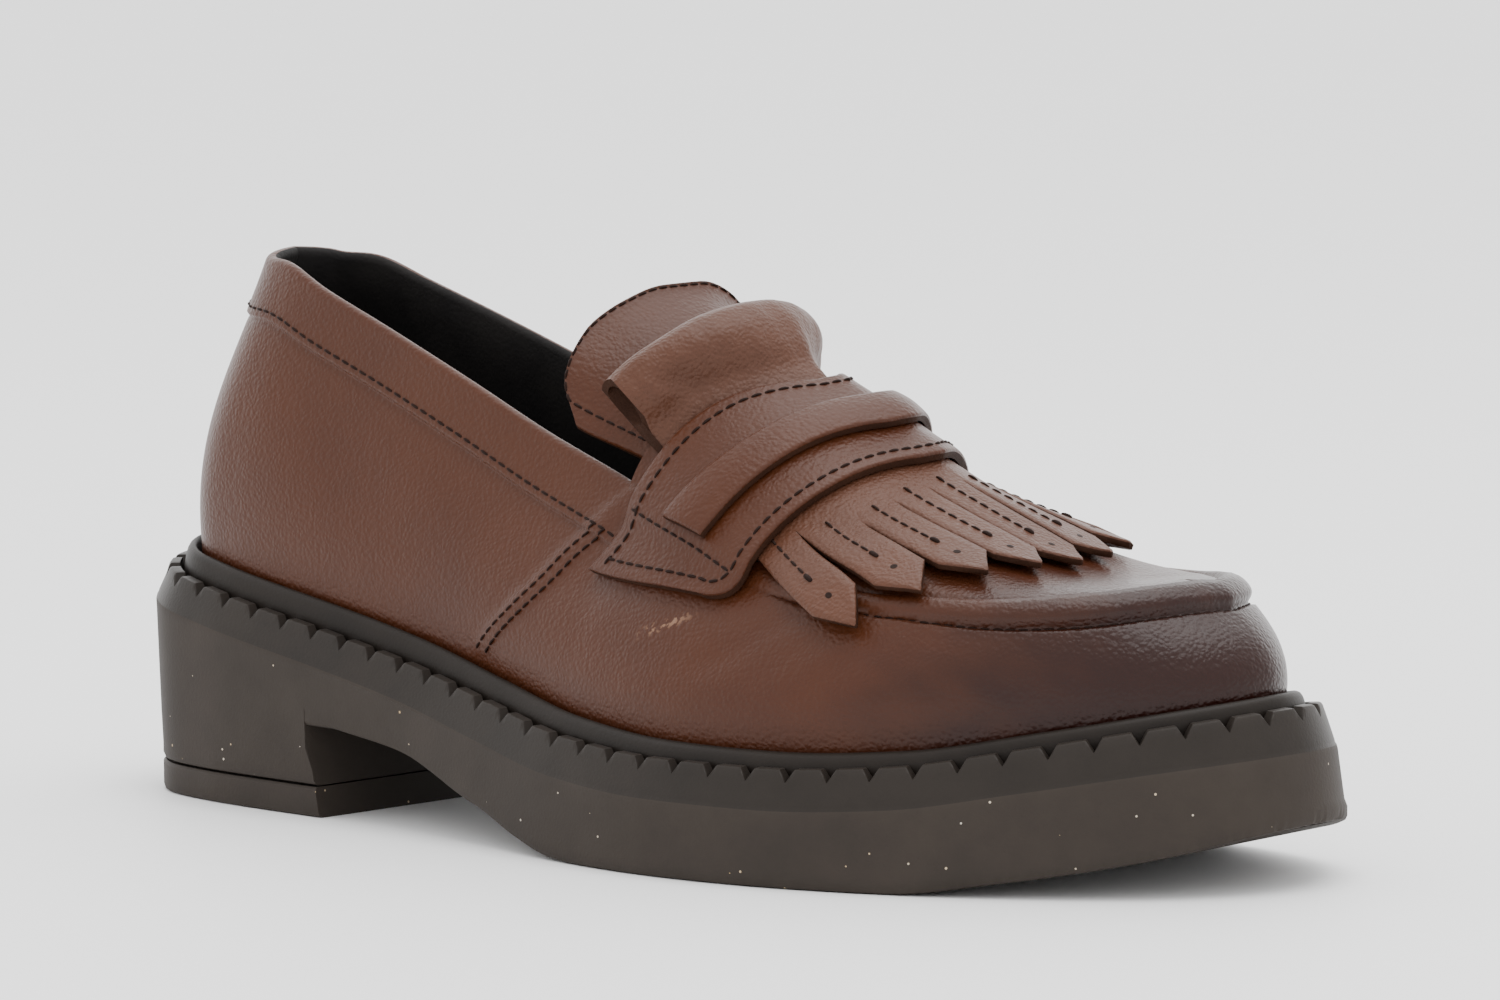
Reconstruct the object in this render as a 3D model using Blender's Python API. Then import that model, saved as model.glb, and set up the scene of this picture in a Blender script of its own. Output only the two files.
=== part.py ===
"""Kiltie loafer, one right shoe, standing empty on its sole.

The frame: +X runs to the toe, +Y to the inner (medial) side, +Z up. The origin lies on the floor
under the heel. Sizes are millimetres here and become metres in add_piece.
A place round the shoe is a side (OUTER or INNER) and a share of the way round: 0 at the back of the
heel and 1 at the tip of the toe.
"""
import math

import bpy
import bmesh
import numpy as np

METRES = 0.001
GAP = 0.3                   # between two curved pieces that meet
LAYER_GAP = 0.5             # between two layers of leather over the curved instep

# Plan of the sole
SOLE_LENGTH = 270.0
BALL_BREADTH = 95.0
HEEL_BREADTH = 61.0
HEEL_BACK = -39.5           # X of the back of the heel
HEEL_TURN = math.radians(4.5)

# Heights of the sole
FOREFOOT_THICKNESS = 19.4
HEEL_RISE = 23.4            # top of the sole at the heel above the forefoot
TOE_RISE = 11.6             # top of the sole at the toe above the forefoot
TOE_SPRING = 12.0           # tread at the toe above the floor
WAIST_LIFT = 18.0           # tread above the floor just before the heel
TOP_PIECE_THICKNESS = 6.0
BREAST_FROM_BACK = 66.0     # front face of the heel
BREAST_RAKE = 3.5           # that face leans forward by this, top to floor

# Side of the sole
TOOTH_PITCH = 8.5
TOOTH_HEIGHT = 2.5
TOOTH_LEAN = 0.9
TOOTH_DEPTH = 3.2
NOTCH_SHARE = 0.39          # of the pitch, open at the top
BAND_HEIGHT = 5.0
BAND_LEAN = 1.5
BAND_STEP = 0.5
FLARE = 4.0                 # tread beyond the top edge, at the toe

# Welt, wall and insole
WELT_HEIGHT = 7.2
WELT_FROM_TEETH = 0.7
FEATHER_INSET = 8.0         # from the top edge of the sole to the upper
WALL = 2.0
INSOLE_THICKNESS = 3.5
BED = 0.45                  # between the sole's curved top and what lies on it

# Upper
COLLAR_RISE = 58.5          # back of the collar above the welt
INSTEP_CROWN = 19.5         # ridge above the seam line, at the instep
COLLAR_BAND = 12.5          # width of the raised band along the collar
COLLAR_BAND_STEP = 0.8
SEAM_RIDGE_WIDTH = 5.0      # raised apron seam
SEAM_RIDGE_STEP = 1.5

# Tongue
TONGUE_THICKNESS = 2.0
TONGUE_RISE = 16.0          # top of the tongue above the ridge at the throat
TONGUE_BACK = 35.0          # top of the tongue behind the ridge at the throat
TONGUE_HALF_WIDTH = 24.0
TONGUE_ROOT = 0.53          # the tongue starts here, inside the upper under the saddle
TONGUE_ROOT_WIDTH = 32.5    # to each side of the centre line, round the instep
TONGUE_INSIDE = 0.25        # share of its length that the upper covers
TONGUE_CLEAR = 1.1          # between the upper's lining and the tongue

# Saddle strap, its band and the kiltie. Places ahead are measured along the ridge from the throat, and
# distances across are measured round the instep from its centre line.
CENTRE_LINE = -4.7          # from the ridge, halfway between the two seams
SADDLE_BACK = 7.8
SADDLE_WIDTH = 28.7
SADDLE_REACH = 57.0         # to each side, at the back corner
SADDLE_TAPER = 7.5          # less at the front corner
SADDLE_CORNER = 9.0
SADDLE_THICKNESS = 2.0
SADDLE_BAND_BACK = 10.0     # from the saddle's back edge
SADDLE_BAND_WIDTH = 9.2
SADDLE_BAND_REACH = 40.5
SADDLE_BAND_THICKNESS = 1.8
KILTIE_THICKNESS = 1.5
KILTIE_HALF_WIDTH = 38.5
TUCK = 3.0                  # of the roll under the saddle
FRINGE_FROM_ROLL = 1.0
TABS = 9
TAB_ROOT_PITCH = 8.4
TAB_TIP_PITCH = 10.6
TAB_SLIT = 0.9              # gap between two tabs at their corners
TAB_POINT = 6.2             # length of the pointed end
TAB_REACH = 76.0            # tip of the middle tab
TAB_SWEEP = 16.6            # the outermost tip is this much further back
TAB_TURN = math.radians(6.5)  # each tab's end is turned by this from its neighbour's
SLIT_START = 44.0           # of the middle slits
TAB_LIFT = 2.6              # of the outermost tips above the upper
ROLL_HALF_WIDTH = 31.0
ROLL_LENGTH = 19.0
ROLL_FROM_SADDLE = 1.2      # it starts to rise this far behind the saddle

OUTER, INNER = -1, 1

# Outline beyond the heel. along is a share of the length, the breadths are shares of the ball breadth.
OUTLINE = dict(
    along=(0.325, 0.417, 0.508, 0.601, 0.695, 0.786, 0.871, 0.949, 0.987),
    outer=(0.397, 0.454, 0.519, 0.554, 0.536, 0.464, 0.353, 0.202, 0.062),
    inner=(0.308, 0.332, 0.377, 0.432, 0.457, 0.448, 0.407, 0.319, 0.205),
)
TOE_SWING = 0.08            # of the ball breadth, towards the inner side

# Top of the sole along the length, as shares of the heel rise and the toe rise
TOP_LINE = dict(
    along=(0.0, 0.03, 0.092, 0.14, 0.232, 0.325, 0.417, 0.509, 0.601, 0.694, 0.786, 0.871, 0.948, 1.0),
    heel=(1.05, 1.0, 0.893, 0.803, 0.637, 0.453, 0.244, 0.068, 0.004, 0.0, 0.0, 0.0, 0.0, 0.0),
    toe=(0.0, 0.0, 0.0, 0.0, 0.0, 0.0, 0.0, 0.0, 0.0, 0.0, 0.113, 0.452, 0.79, 1.0),
)
# Tread before the heel's front face, as shares of the waist lift and the toe spring
TREAD_LINE = dict(
    along=(0.25, 0.325, 0.399, 0.424, 0.461, 0.509, 0.535, 0.786, 0.86, 0.948, 1.0),
    waist=(1.0, 0.844, 0.483, 0.378, 0.183, 0.017, 0.0, 0.0, 0.0, 0.0, 0.0),
    toe=(0.0, 0.0, 0.0, 0.0, 0.0, 0.0, 0.0, 0.0, 0.225, 0.617, 1.0),
)
# Side of the sole round the shoe, as shares of the flare, band height, welt height and feather inset
SIDE = dict(
    around=(0.0, 0.25, 0.45, 0.65, 0.85, 1.0),
    flare=(0.25, 0.3, 0.5, 0.65, 0.9, 1.0),
    band=(0.8, 0.85, 0.95, 1.0, 1.05, 1.1),
    welt=(1.0, 0.97, 0.85, 0.7, 0.72, 0.78),
    feather=(0.91, 0.93, 1.0, 1.0, 0.93, 0.91),
)
# Top of the upper's wall: the collar as far as the throat, then the apron seam to the toe.
# along is a share of the length, outer and inner of the ball breadth, and rise of the collar rise.
# lean turns the top of the wall inwards, and swell its foot outwards, in degrees.
THROAT = 0.475
WALL_TOP = dict(
    around=(0.0, 0.075, 0.15, 0.2, 0.26, 0.33, 0.41, 0.475, 0.5, 0.54,
            0.58, 0.64, 0.7, 0.76, 0.82, 0.88, 0.94, 1.0),
    along=(0.092, 0.108, 0.146, 0.186, 0.251, 0.332, 0.421, 0.498, 0.533, 0.583,
           0.631, 0.694, 0.756, 0.812, 0.855, 0.887, 0.908, 0.918),
    outer=(0.0, 0.113, 0.163, 0.189, 0.205, 0.221, 0.232, 0.247, 0.279, 0.316,
           0.332, 0.337, 0.311, 0.263, 0.2, 0.116, 0.0, -0.105),
    inner=(0.0, 0.095, 0.126, 0.14, 0.158, 0.179, 0.195, 0.21, 0.247, 0.289,
           0.326, 0.358, 0.379, 0.379, 0.342, 0.274, 0.189, 0.105),
    rise=(1.0, 1.0, 1.024, 0.993, 0.933, 0.855, 0.776, 0.718, 0.668, 0.602,
          0.542, 0.496, 0.48, 0.451, 0.41, 0.372, 0.345, 0.325),
    lean=(18.0, 19.0, 16.0, 11.0, 8.0, 8.0, 12.0, 22.0, 28.0, 34.0,
          38.0, 40.0, 40.0, 42.0, 45.0, 48.0, 50.0, 50.0),
    swell=(5.0, 5.0, 5.0, 6.0, 6.0, 7.0, 8.0, 9.0, 10.0, 11.0,
           12.0, 12.0, 11.0, 9.0, 7.0, 6.0, 6.0, 6.0),
)
# Ridge of the instep, from the throat to the toe: crown is a share of the instep crown above the seam
# line, and lean is how far the apron turns inwards where it starts from the seam, in degrees.
RIDGE = dict(
    around=(0.475, 0.5, 0.54, 0.58, 0.64, 0.7, 0.76, 0.82, 0.88, 0.94, 1.0),
    along=(0.57, 0.594, 0.631, 0.672, 0.727, 0.775, 0.816, 0.848, 0.871, 0.887, 0.895),
    swing=(0.053, 0.053, 0.053, 0.053, 0.058, 0.068, 0.079, 0.089, 0.098, 0.103, 0.105),
    crown=(0.99, 1.02, 1.035, 0.94, 0.7, 0.42, 0.2, 0.11, 0.06, 0.03, 0.026),
    lean=(22.0, 28.0, 34.0, 40.0, 50.0, 58.0, 68.0, 75.0, 80.0, 84.0, 84.0),
)


# Top edge of the tongue, from the outer corner to the inner one: back and drop are shares of how far it
# stands back from the ridge at the throat and of its half width, and swing is a share of the half width.
TONGUE_TOP = dict(
    across=(-1.0, -0.8, -0.5, -0.25, 0.0, 0.25, 0.5, 0.8, 1.0),
    back=(1.01, 1.13, 1.14, 1.08, 1.01, 0.95, 0.9, 0.87, 0.83),
    swing=(-1.12, -1.04, -0.77, -0.4, -0.02, 0.35, 0.65, 0.83, 0.78),
    drop=(1.04, 0.68, 0.34, 0.12, 0.01, 0.0, 0.12, 0.42, 0.82),
)


def smooth(table, column, at, key="around"):
    """Read a column at any place: a curve through the rows that never overshoots them."""
    keys = np.asarray(table[key], float)
    values = np.asarray(table[column], float)
    steps = np.diff(keys)
    secants = np.diff(values) / steps
    slopes = np.concatenate((secants[:1], np.zeros(len(keys) - 2), secants[-1:]))
    same = secants[:-1] * secants[1:] > 0
    before = 2 * steps[1:] + steps[:-1]
    after = steps[1:] + 2 * steps[:-1]
    mean = (before + after)[same] / (before[same] / secants[:-1][same] + after[same] / secants[1:][same])
    slopes[1:-1][same] = mean
    at = np.clip(at, keys[0], keys[-1])
    row = np.clip(np.searchsorted(keys, at, side="right") - 1, 0, len(keys) - 2)
    step = steps[row]
    s = (at - keys[row]) / step
    start = values[row] * (1 + 2 * s) * (1 - s) ** 2 + slopes[row] * step * s * (1 - s) ** 2
    end = values[row + 1] * s * s * (3 - 2 * s) + slopes[row + 1] * step * s * s * (s - 1)
    return start + end


def catmull_rom(points, per_span=24):
    """A closed smooth curve through the points."""
    points = np.asarray(points, float)
    curve = []
    for index in range(len(points)):
        p0, p1, p2, p3 = (points[(index + offset) % len(points)] for offset in (-1, 0, 1, 2))
        k0, k1, k2 = (np.sqrt(np.linalg.norm(b - a)) for a, b in ((p0, p1), (p1, p2), (p2, p3)))
        m1 = k1 * ((p1 - p0) / k0 - (p2 - p0) / (k0 + k1) + (p2 - p1) / k1)
        m2 = k1 * ((p2 - p1) / k1 - (p3 - p1) / (k1 + k2) + (p3 - p2) / k2)
        for s in np.arange(per_span) / per_span:
            curve.append(p1 * (1 + 2 * s) * (1 - s) ** 2 + m1 * s * (1 - s) ** 2
                         + p2 * s * s * (3 - 2 * s) + m2 * s * s * (s - 1))
    return np.array(curve)


def sole_outline():
    """The top edge of the sole seen from above: for each side its share, points and outward normals."""
    radius = HEEL_BREADTH / 2
    middle = np.array((HEEL_BACK + radius * math.cos(HEEL_TURN), 0.0))
    back = math.pi - HEEL_TURN
    arc = [middle + radius * np.array((math.cos(back + turn), math.sin(back + turn)))
           for turn in np.radians((-90, -60, -30, 0, 30, 60, 90))]
    along = HEEL_BACK + SOLE_LENGTH * np.array(OUTLINE["along"])
    outer = np.stack((along, -BALL_BREADTH * np.array(OUTLINE["outer"])), axis=1)
    inner = np.stack((along, BALL_BREADTH * np.array(OUTLINE["inner"])), axis=1)
    tip = (HEEL_BACK + SOLE_LENGTH, TOE_SWING * BALL_BREADTH)
    per_span = 24
    curve = catmull_rom(arc[3:] + list(outer) + [tip] + list(inner[::-1]) + arc[:3], per_span)
    tangent = np.roll(curve, -1, axis=0) - np.roll(curve, 1, axis=0)
    normal = np.stack((tangent[:, 1], -tangent[:, 0]), axis=1)
    normal /= np.linalg.norm(normal, axis=1)[:, None]
    tip_index = per_span * (len(arc[3:]) + len(outer))
    halves = {}
    order = {OUTER: np.arange(0, tip_index + 1),
             INNER: np.concatenate(([0], np.arange(len(curve) - 1, tip_index - 1, -1)))}
    for side, chosen in order.items():
        points = curve[chosen]
        lengths = np.concatenate(([0.0], np.cumsum(np.linalg.norm(np.diff(points, axis=0), axis=1))))
        halves[side] = (lengths / lengths[-1], points, normal[chosen], lengths[-1])
    return halves


EDGE = sole_outline()


def edge(side, around, inset=0.0):
    """A point of the sole's edge from above, moved in by an inset, with its outward direction."""
    shares, points, normals, _ = EDGE[side]
    around = np.asarray(around, float)
    point = np.stack([np.interp(around, shares, points[:, axis]) for axis in (0, 1)], axis=-1)
    out = np.stack([np.interp(around, shares, normals[:, axis]) for axis in (0, 1)], axis=-1)
    out = out / np.linalg.norm(out, axis=-1, keepdims=True)
    return point - out * np.asarray(inset)[..., None], out


def sole_top(x):
    """Height of the sole's top at a place along the shoe."""
    along = (x - HEEL_BACK) / SOLE_LENGTH
    return (FOREFOOT_THICKNESS + HEEL_RISE * smooth(TOP_LINE, "heel", along, "along")
            + TOE_RISE * smooth(TOP_LINE, "toe", along, "along"))


def tread(x):
    """Height of the tread before the heel."""
    along = (x - HEEL_BACK) / SOLE_LENGTH
    return (WAIST_LIFT * smooth(TREAD_LINE, "waist", along, "along")
            + TOE_SPRING * smooth(TREAD_LINE, "toe", along, "along"))


def raised(plan, height):
    """Points of the plan at a height."""
    plan = np.asarray(plan, float)
    return np.concatenate((plan, np.broadcast_to(np.asarray(height, float)[..., None],
                                                 plan.shape[:-1] + (1,))), axis=-1)


def feather(side, around, deeper=0.0):
    """The line where the upper meets the welt, or a line further in beside it."""
    inset = FEATHER_INSET * smooth(SIDE, "feather", around) + deeper
    plan, _ = edge(side, around, inset)
    return raised(plan, sole_top(plan[..., 0]) + WELT_HEIGHT * smooth(SIDE, "welt", around))


def wall_top(side, around):
    """The top edge of the wall: collar, then apron seam."""
    breadth = smooth(WALL_TOP, "outer" if side == OUTER else "inner", around)
    x = HEEL_BACK + SOLE_LENGTH * smooth(WALL_TOP, "along", around)
    y = side * BALL_BREADTH * breadth
    z = feather(side, around)[..., 2] + COLLAR_RISE * smooth(WALL_TOP, "rise", around)
    return np.stack((x, y, z), axis=-1)


def ridge(around):
    """The top line of the instep and the apron."""
    x = HEEL_BACK + SOLE_LENGTH * smooth(RIDGE, "along", around)
    y = BALL_BREADTH * smooth(RIDGE, "swing", around)
    seam = (wall_top(OUTER, around)[..., 2] + wall_top(INNER, around)[..., 2]) / 2
    return np.stack((x, y, seam + INSTEP_CROWN * smooth(RIDGE, "crown", around)), axis=-1)


def bezier(p0, p1, p2, p3, t):
    t = np.asarray(t)[..., None]
    return p0 * (1 - t) ** 3 + 3 * p1 * t * (1 - t) ** 2 + 3 * p2 * t * t * (1 - t) + p3 * t ** 3


def tilted(out, degrees):
    """A direction that climbs and leans towards out by an angle."""
    angle = np.radians(degrees)
    return raised(out * np.sin(angle)[..., None], np.cos(angle))


def wall(side, around, up):
    """The wall of the upper: up is 0 at the welt and 1 at its top edge."""
    around, up = np.broadcast_arrays(np.asarray(around, float), np.asarray(up, float))
    _, out = edge(side, around)
    foot = feather(side, around)
    top = wall_top(side, around)
    reach = np.linalg.norm(top - foot, axis=-1, keepdims=True)
    rising = tilted(out, smooth(WALL_TOP, "swell", around))
    arriving = tilted(-out, smooth(WALL_TOP, "lean", around))
    return bezier(foot, foot + 0.4 * reach * rising, top - 0.35 * reach * arriving, top, up)


def apron(side, around, across):
    """The apron and instep: across is 0 at the seam and 1 on the ridge."""
    around, across = np.broadcast_arrays(np.asarray(around, float), np.asarray(across, float))
    start = wall_top(side, around)
    top = ridge(around)
    inward = (top - start)[..., :2]
    inward = inward / np.maximum(np.linalg.norm(inward, axis=-1, keepdims=True), 1e-6)
    reach = np.linalg.norm(top - start, axis=-1, keepdims=True)
    climbing = tilted(inward, smooth(RIDGE, "lean", around))
    level = raised(inward, np.zeros(around.shape))
    return bezier(start, start + 0.38 * reach * climbing, top - 0.42 * reach * level, top, across)


def teeth_round():
    """Places of the notches: shares of the way round on each side, the same count on both sides.

    One notch lies on the heel's front line on each side. Returns the two lists and the breast's number.
    """
    places = {}
    counts = None
    for side in (OUTER, INNER):
        shares, points, _, length = EDGE[side]
        forward = np.array((math.cos(HEEL_TURN), -math.sin(HEEL_TURN)))
        from_back = (points - points[0]) @ forward
        breast = float(np.interp(BREAST_FROM_BACK - BREAST_RAKE, from_back[:len(shares) // 2],
                                 shares[:len(shares) // 2]))
        if counts is None:
            counts = (round(breast * length / TOOTH_PITCH), round((1 - breast) * length / TOOTH_PITCH))
        behind = np.linspace(0, breast, counts[0] + 1)
        ahead = np.linspace(breast, 1, counts[1] + 1)[1:]
        places[side] = np.concatenate((behind, ahead))
    return places, counts[0]


NOTCHES, BREAST_NOTCH = teeth_round()


class Mesh:
    """Points and faces of one piece, filled in by the functions below."""

    def __init__(self):
        self.points = []
        self.faces = []

    def add(self, rows):
        """Add points and return their numbers, in the shape of the rows."""
        rows = np.asarray(rows, float)
        first = len(self.points)
        self.points.extend(rows.reshape(-1, 3))
        return np.arange(first, len(self.points)).reshape(rows.shape[:-1])

    def face(self, *corners):
        """Add a face, leaving out corners that repeat."""
        kept = [int(c) for i, c in enumerate(corners) if c != corners[i - 1]]
        if len(kept) > 2:
            self.faces.append(kept)

    def strip(self, low, high, closed=False):
        """Faces between two rows of points."""
        count = len(low)
        for i in range(count if closed else count - 1):
            j = (i + 1) % count
            self.face(low[i], low[j], high[j], high[i])

    def sheet(self, grid, closed=False):
        """Faces over a grid of points, row by row."""
        for low, high in zip(grid[:-1], grid[1:]):
            self.strip(low, high, closed)

    def slab(self, upper_grid, lower_grid):
        """A closed plate between two grids of points."""
        self.sheet(upper_grid)
        self.sheet(lower_grid)
        for rows in (0, -1):
            self.strip(upper_grid[rows], lower_grid[rows])
            self.strip(upper_grid[:, rows], lower_grid[:, rows])

    def ladder(self, ring, first=0, last=None):
        """Faces across a ring, from each point to its partner on the other side."""
        count = len(ring)
        half = count // 2
        for k in range(first, half if last is None else last):
            self.face(ring[k], ring[k + 1], ring[(count - k - 1) % count], ring[(count - k) % count])


def round_the_shoe(places, line):
    """Points of a line all the way round: back, outer side, toe, inner side."""
    outer = line(OUTER, places[OUTER])
    inner = line(INNER, places[INNER])
    return np.concatenate((outer, inner[-2:0:-1]))


def material(name, colour, roughness):
    """A plain finish of one colour."""
    made = bpy.data.materials.new(name)
    made.use_nodes = True
    shader = made.node_tree.nodes["Principled BSDF"]
    shader.inputs["Base Color"].default_value = (*colour, 1.0)
    shader.inputs["Roughness"].default_value = roughness
    shader.inputs["Metallic"].default_value = 0.0
    made.diffuse_color = (*colour, 1.0)
    return made


def add_piece(name, mesh, finish):
    """Turn points and faces into one closed object whose faces point out."""
    data = bpy.data.meshes.new(name)
    data.from_pydata([tuple(point * METRES) for point in mesh.points], [], mesh.faces)
    shape = bmesh.new()
    shape.from_mesh(data)
    bmesh.ops.recalc_face_normals(shape, faces=shape.faces)
    bmesh.ops.triangulate(shape, faces=[face for face in shape.faces if len(face.verts) > 3])
    shape.to_mesh(data)
    shape.free()
    data.shade_smooth()
    data.set_sharp_from_angle(angle=math.radians(35))
    data.materials.append(finish)
    piece = bpy.data.objects.new(name, data)
    bpy.context.collection.objects.link(piece)
    return piece


def sole_side(side, around, lowest):
    """Rows up the side of the sole, from the tread to the inner foot of the teeth."""
    plan, _ = edge(side, around)
    top = sole_top(plan[..., 0])
    band = BAND_HEIGHT * smooth(SIDE, "band", around)
    flare = FLARE * smooth(SIDE, "flare", around)
    inside, _ = edge(side, around, TOOTH_DEPTH)
    rows = (
        (flare, lowest),
        (BAND_LEAN + BAND_STEP + 0 * flare, top - band),
        (BAND_LEAN + 0 * flare, top - band + BAND_STEP),
        (0 * flare, top),
        (-TOOTH_DEPTH + 0 * flare, sole_top(inside[..., 0])),
    )
    return [raised(edge(side, around, -out)[0], height) for out, height in rows]


def breast_lean(points):
    """Lean the heel's front face forward below the waist."""
    shift = BREAST_RAKE * (1 - points[..., 2] / WAIST_LIFT)
    moved = np.array(points)
    moved[..., 0] += shift * math.cos(HEEL_TURN)
    moved[..., 1] -= shift * math.sin(HEEL_TURN)
    return moved


def unit_sole(finish):
    """Forefoot, waist and heel block in one, with the toothed rim and the band on its side."""
    mesh = Mesh()
    half = len(NOTCHES[OUTER]) - 1
    count = 2 * half

    def row(number):
        def line(side, around):
            plan, _ = edge(side, around)
            in_heel = np.arange(len(around)) <= BREAST_NOTCH
            lowest = np.where(in_heel, TOP_PIECE_THICKNESS + GAP, tread(plan[..., 0]))
            points = sole_side(side, around, lowest)[number]
            if number == 0:
                points[BREAST_NOTCH] = breast_lean(points[BREAST_NOTCH])
            return points
        return mesh.add(round_the_shoe(NOTCHES, line))

    foot = row(0)
    breast = [BREAST_NOTCH, count - BREAST_NOTCH]
    waist_points = round_the_shoe(NOTCHES, lambda side, around: sole_side(
        side, around, tread(edge(side, around)[0][..., 0]))[0])
    waist = dict(zip(breast, mesh.add(waist_points[breast])))
    band_low, band_high, notch_out, notch_in = (row(number) for number in (1, 2, 3, 4))

    teeth = tooth_tops(half)
    outer_start, outer_end, inner_start, inner_end = (mesh.add(points) for points in teeth)

    for k in range(count):
        j = (k + 1) % count
        if j == breast[0]:
            mesh.face(foot[k], foot[j], waist[j])
            mesh.face(foot[k], waist[j], band_low[j], band_low[k])
        elif k == breast[0]:
            mesh.face(waist[k], foot[j], band_low[j], band_low[k])
        elif j == breast[1]:
            mesh.face(foot[k], waist[j], band_low[j], band_low[k])
        elif k == breast[1]:
            mesh.face(waist[k], foot[k], foot[j])
            mesh.face(waist[k], foot[j], band_low[j], band_low[k])
        else:
            mesh.face(foot[k], foot[j], band_low[j], band_low[k])
        mesh.face(band_low[k], band_low[j], band_high[j], band_high[k])
        mesh.face(band_high[k], band_high[j], notch_out[j], notch_out[k])
        mesh.face(notch_out[k], notch_out[j], outer_end[k], outer_start[k])
        mesh.face(outer_start[k], outer_end[k], inner_end[k], inner_start[k])
        mesh.face(notch_out[k], outer_start[k], inner_start[k], notch_in[k])
        mesh.face(outer_end[k], notch_out[j], notch_in[j], inner_end[k])
        mesh.face(inner_start[k], inner_end[k], notch_in[j], notch_in[k])
    mesh.ladder(notch_in)
    mesh.ladder(foot, 0, breast[0])
    under = np.array(foot)
    for place, number in waist.items():
        under[place] = number
    mesh.ladder(under, breast[0], half)
    mesh.face(foot[breast[0]], foot[breast[1]], waist[breast[1]], waist[breast[0]])
    return add_piece("unit_sole", mesh, finish)


def tooth_tops(half):
    """The four top corners of each tooth: outer start, outer end, inner start, inner end."""
    corners = []
    for depth in (0.0, TOOTH_DEPTH):
        for share in (NOTCH_SHARE / 2, 1 - NOTCH_SHARE / 2):
            points = []
            for side, order in ((OUTER, range(half)), (INNER, range(half - 1, -1, -1))):
                places = NOTCHES[side]
                for k in order:
                    part = share if side == OUTER else 1 - share
                    around = places[k] + part * (places[k + 1] - places[k])
                    lean = TOOTH_LEAN if depth == 0.0 else 0.0
                    plan, _ = edge(side, around, depth + lean)
                    base, _ = edge(side, around)
                    points.append(raised(plan, sole_top(base[..., 0]) + TOOTH_HEIGHT))
            corners.append(np.array(points))
    return corners


def heel_top_piece(finish):
    """The slab that the heel stands on, with the heel's own outline."""
    mesh = Mesh()
    places = {side: NOTCHES[side][:BREAST_NOTCH + 1] for side in (OUTER, INNER)}
    rings = []
    for height in (0.0, TOP_PIECE_THICKNESS):
        def line(side):
            points = sole_side(side, places[side], np.full(len(places[side]), height))[0]
            points[-1] = breast_lean(points[-1])
            return points
        rings.append(mesh.add(np.concatenate((line(OUTER), line(INNER)[:0:-1]))))
    mesh.strip(rings[0], rings[1], closed=True)
    for ring in rings:
        count = len(ring)
        for k in range(BREAST_NOTCH):
            mesh.face(ring[k], ring[k + 1], ring[(count - k - 1) % count], ring[(count - k) % count])
    return add_piece("heel_top_piece", mesh, finish)


# Section of the welt: out is 1 at the teeth and 0 at the upper, up is a share of its height
WELT_SECTION = ((1.0, 0.0), (1.0, 0.4), (0.8, 0.82), (0.42, 1.0), (0.0, 0.93), (0.0, 0.0))


def storm_welt(finish):
    """The rounded bead all round, between the teeth and the upper."""
    mesh = Mesh()
    rings = []
    for out, up in WELT_SECTION:
        def line(side, around):
            outer = TOOTH_DEPTH + WELT_FROM_TEETH
            inner = FEATHER_INSET * smooth(SIDE, "feather", around) - GAP
            plan, _ = edge(side, around, outer * out + inner * (1 - out))
            height = WELT_HEIGHT * smooth(SIDE, "welt", around) - BED
            return raised(plan, sole_top(plan[..., 0]) + BED + up * height)
        rings.append(mesh.add(round_the_shoe(NOTCHES, line)))
    mesh.sheet(rings + [rings[0]], closed=True)
    return add_piece("storm_welt", mesh, finish)


def insole(finish):
    """The board that the foot stands on, lying on the sole inside the upper."""
    mesh = Mesh()
    rings = []
    for height in (BED, BED + INSOLE_THICKNESS):
        def line(side, around):
            points = feather(side, around, WALL + 2 * GAP)
            points[..., 2] = sole_top(points[..., 0]) + height
            return points
        rings.append(mesh.add(round_the_shoe(NOTCHES, line)))
        mesh.ladder(rings[-1])
    mesh.strip(rings[0], rings[1], closed=True)
    return add_piece("insole", mesh, finish)


def lifted(surface, side, around, up, lift):
    """Points of a surface, moved out along its own normal by a lift."""
    step = 0.002
    around, up, lift = np.broadcast_arrays(np.asarray(around, float), up, lift)
    ahead = (surface(side, np.minimum(around + step, 1), up) - surface(side, np.maximum(around - step, 0), up))
    climb = (surface(side, around, np.minimum(up + step, 1)) - surface(side, around, np.maximum(up - step, 0)))
    normal = -side * np.cross(ahead, climb)
    normal = normal / np.linalg.norm(normal, axis=-1, keepdims=True)
    return surface(side, around, up) + normal * lift[..., None]


UPPER_COLUMNS = 36          # on each side
WALL_ROWS = (0.0, 0.16, 0.34, 0.54, 0.78, 1.0)
# Rows of the raised band or seam ridge: share of its width, and share of its step
BAND_ROWS = ((0.07, 1.0), (0.5, 1.0), (1.0, 1.0))
# Rows of the apron: millimetres from the seam, share of what is left to the ridge, share of the step
APRON_ROWS = ((1.2, 0.0, 0.8), (2.4, 0.0, 0.0), (2.4, 0.22, 0.0), (2.4, 0.46, 0.0),
              (2.4, 0.72, 0.0), (2.4, 1.0, 0.0))
COVERED = 0.6               # the saddle covers the seam from the throat to here


def band_width(around):
    """Width of the raised edge: the collar band, and beyond the throat the seam ridge."""
    share = np.clip((around - THROAT) / (COVERED - THROAT), 0, 1)
    return COLLAR_BAND * (1 - share) + SEAM_RIDGE_WIDTH * share


def band_step(around):
    """Step of the raised edge: it fades out where the saddle covers it."""
    collar = np.clip((THROAT - around) / 0.03, 0, 1)
    seam = np.clip((around - COVERED) / 0.05, 0, 1)
    return COLLAR_BAND_STEP * collar + SEAM_RIDGE_STEP * seam


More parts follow.
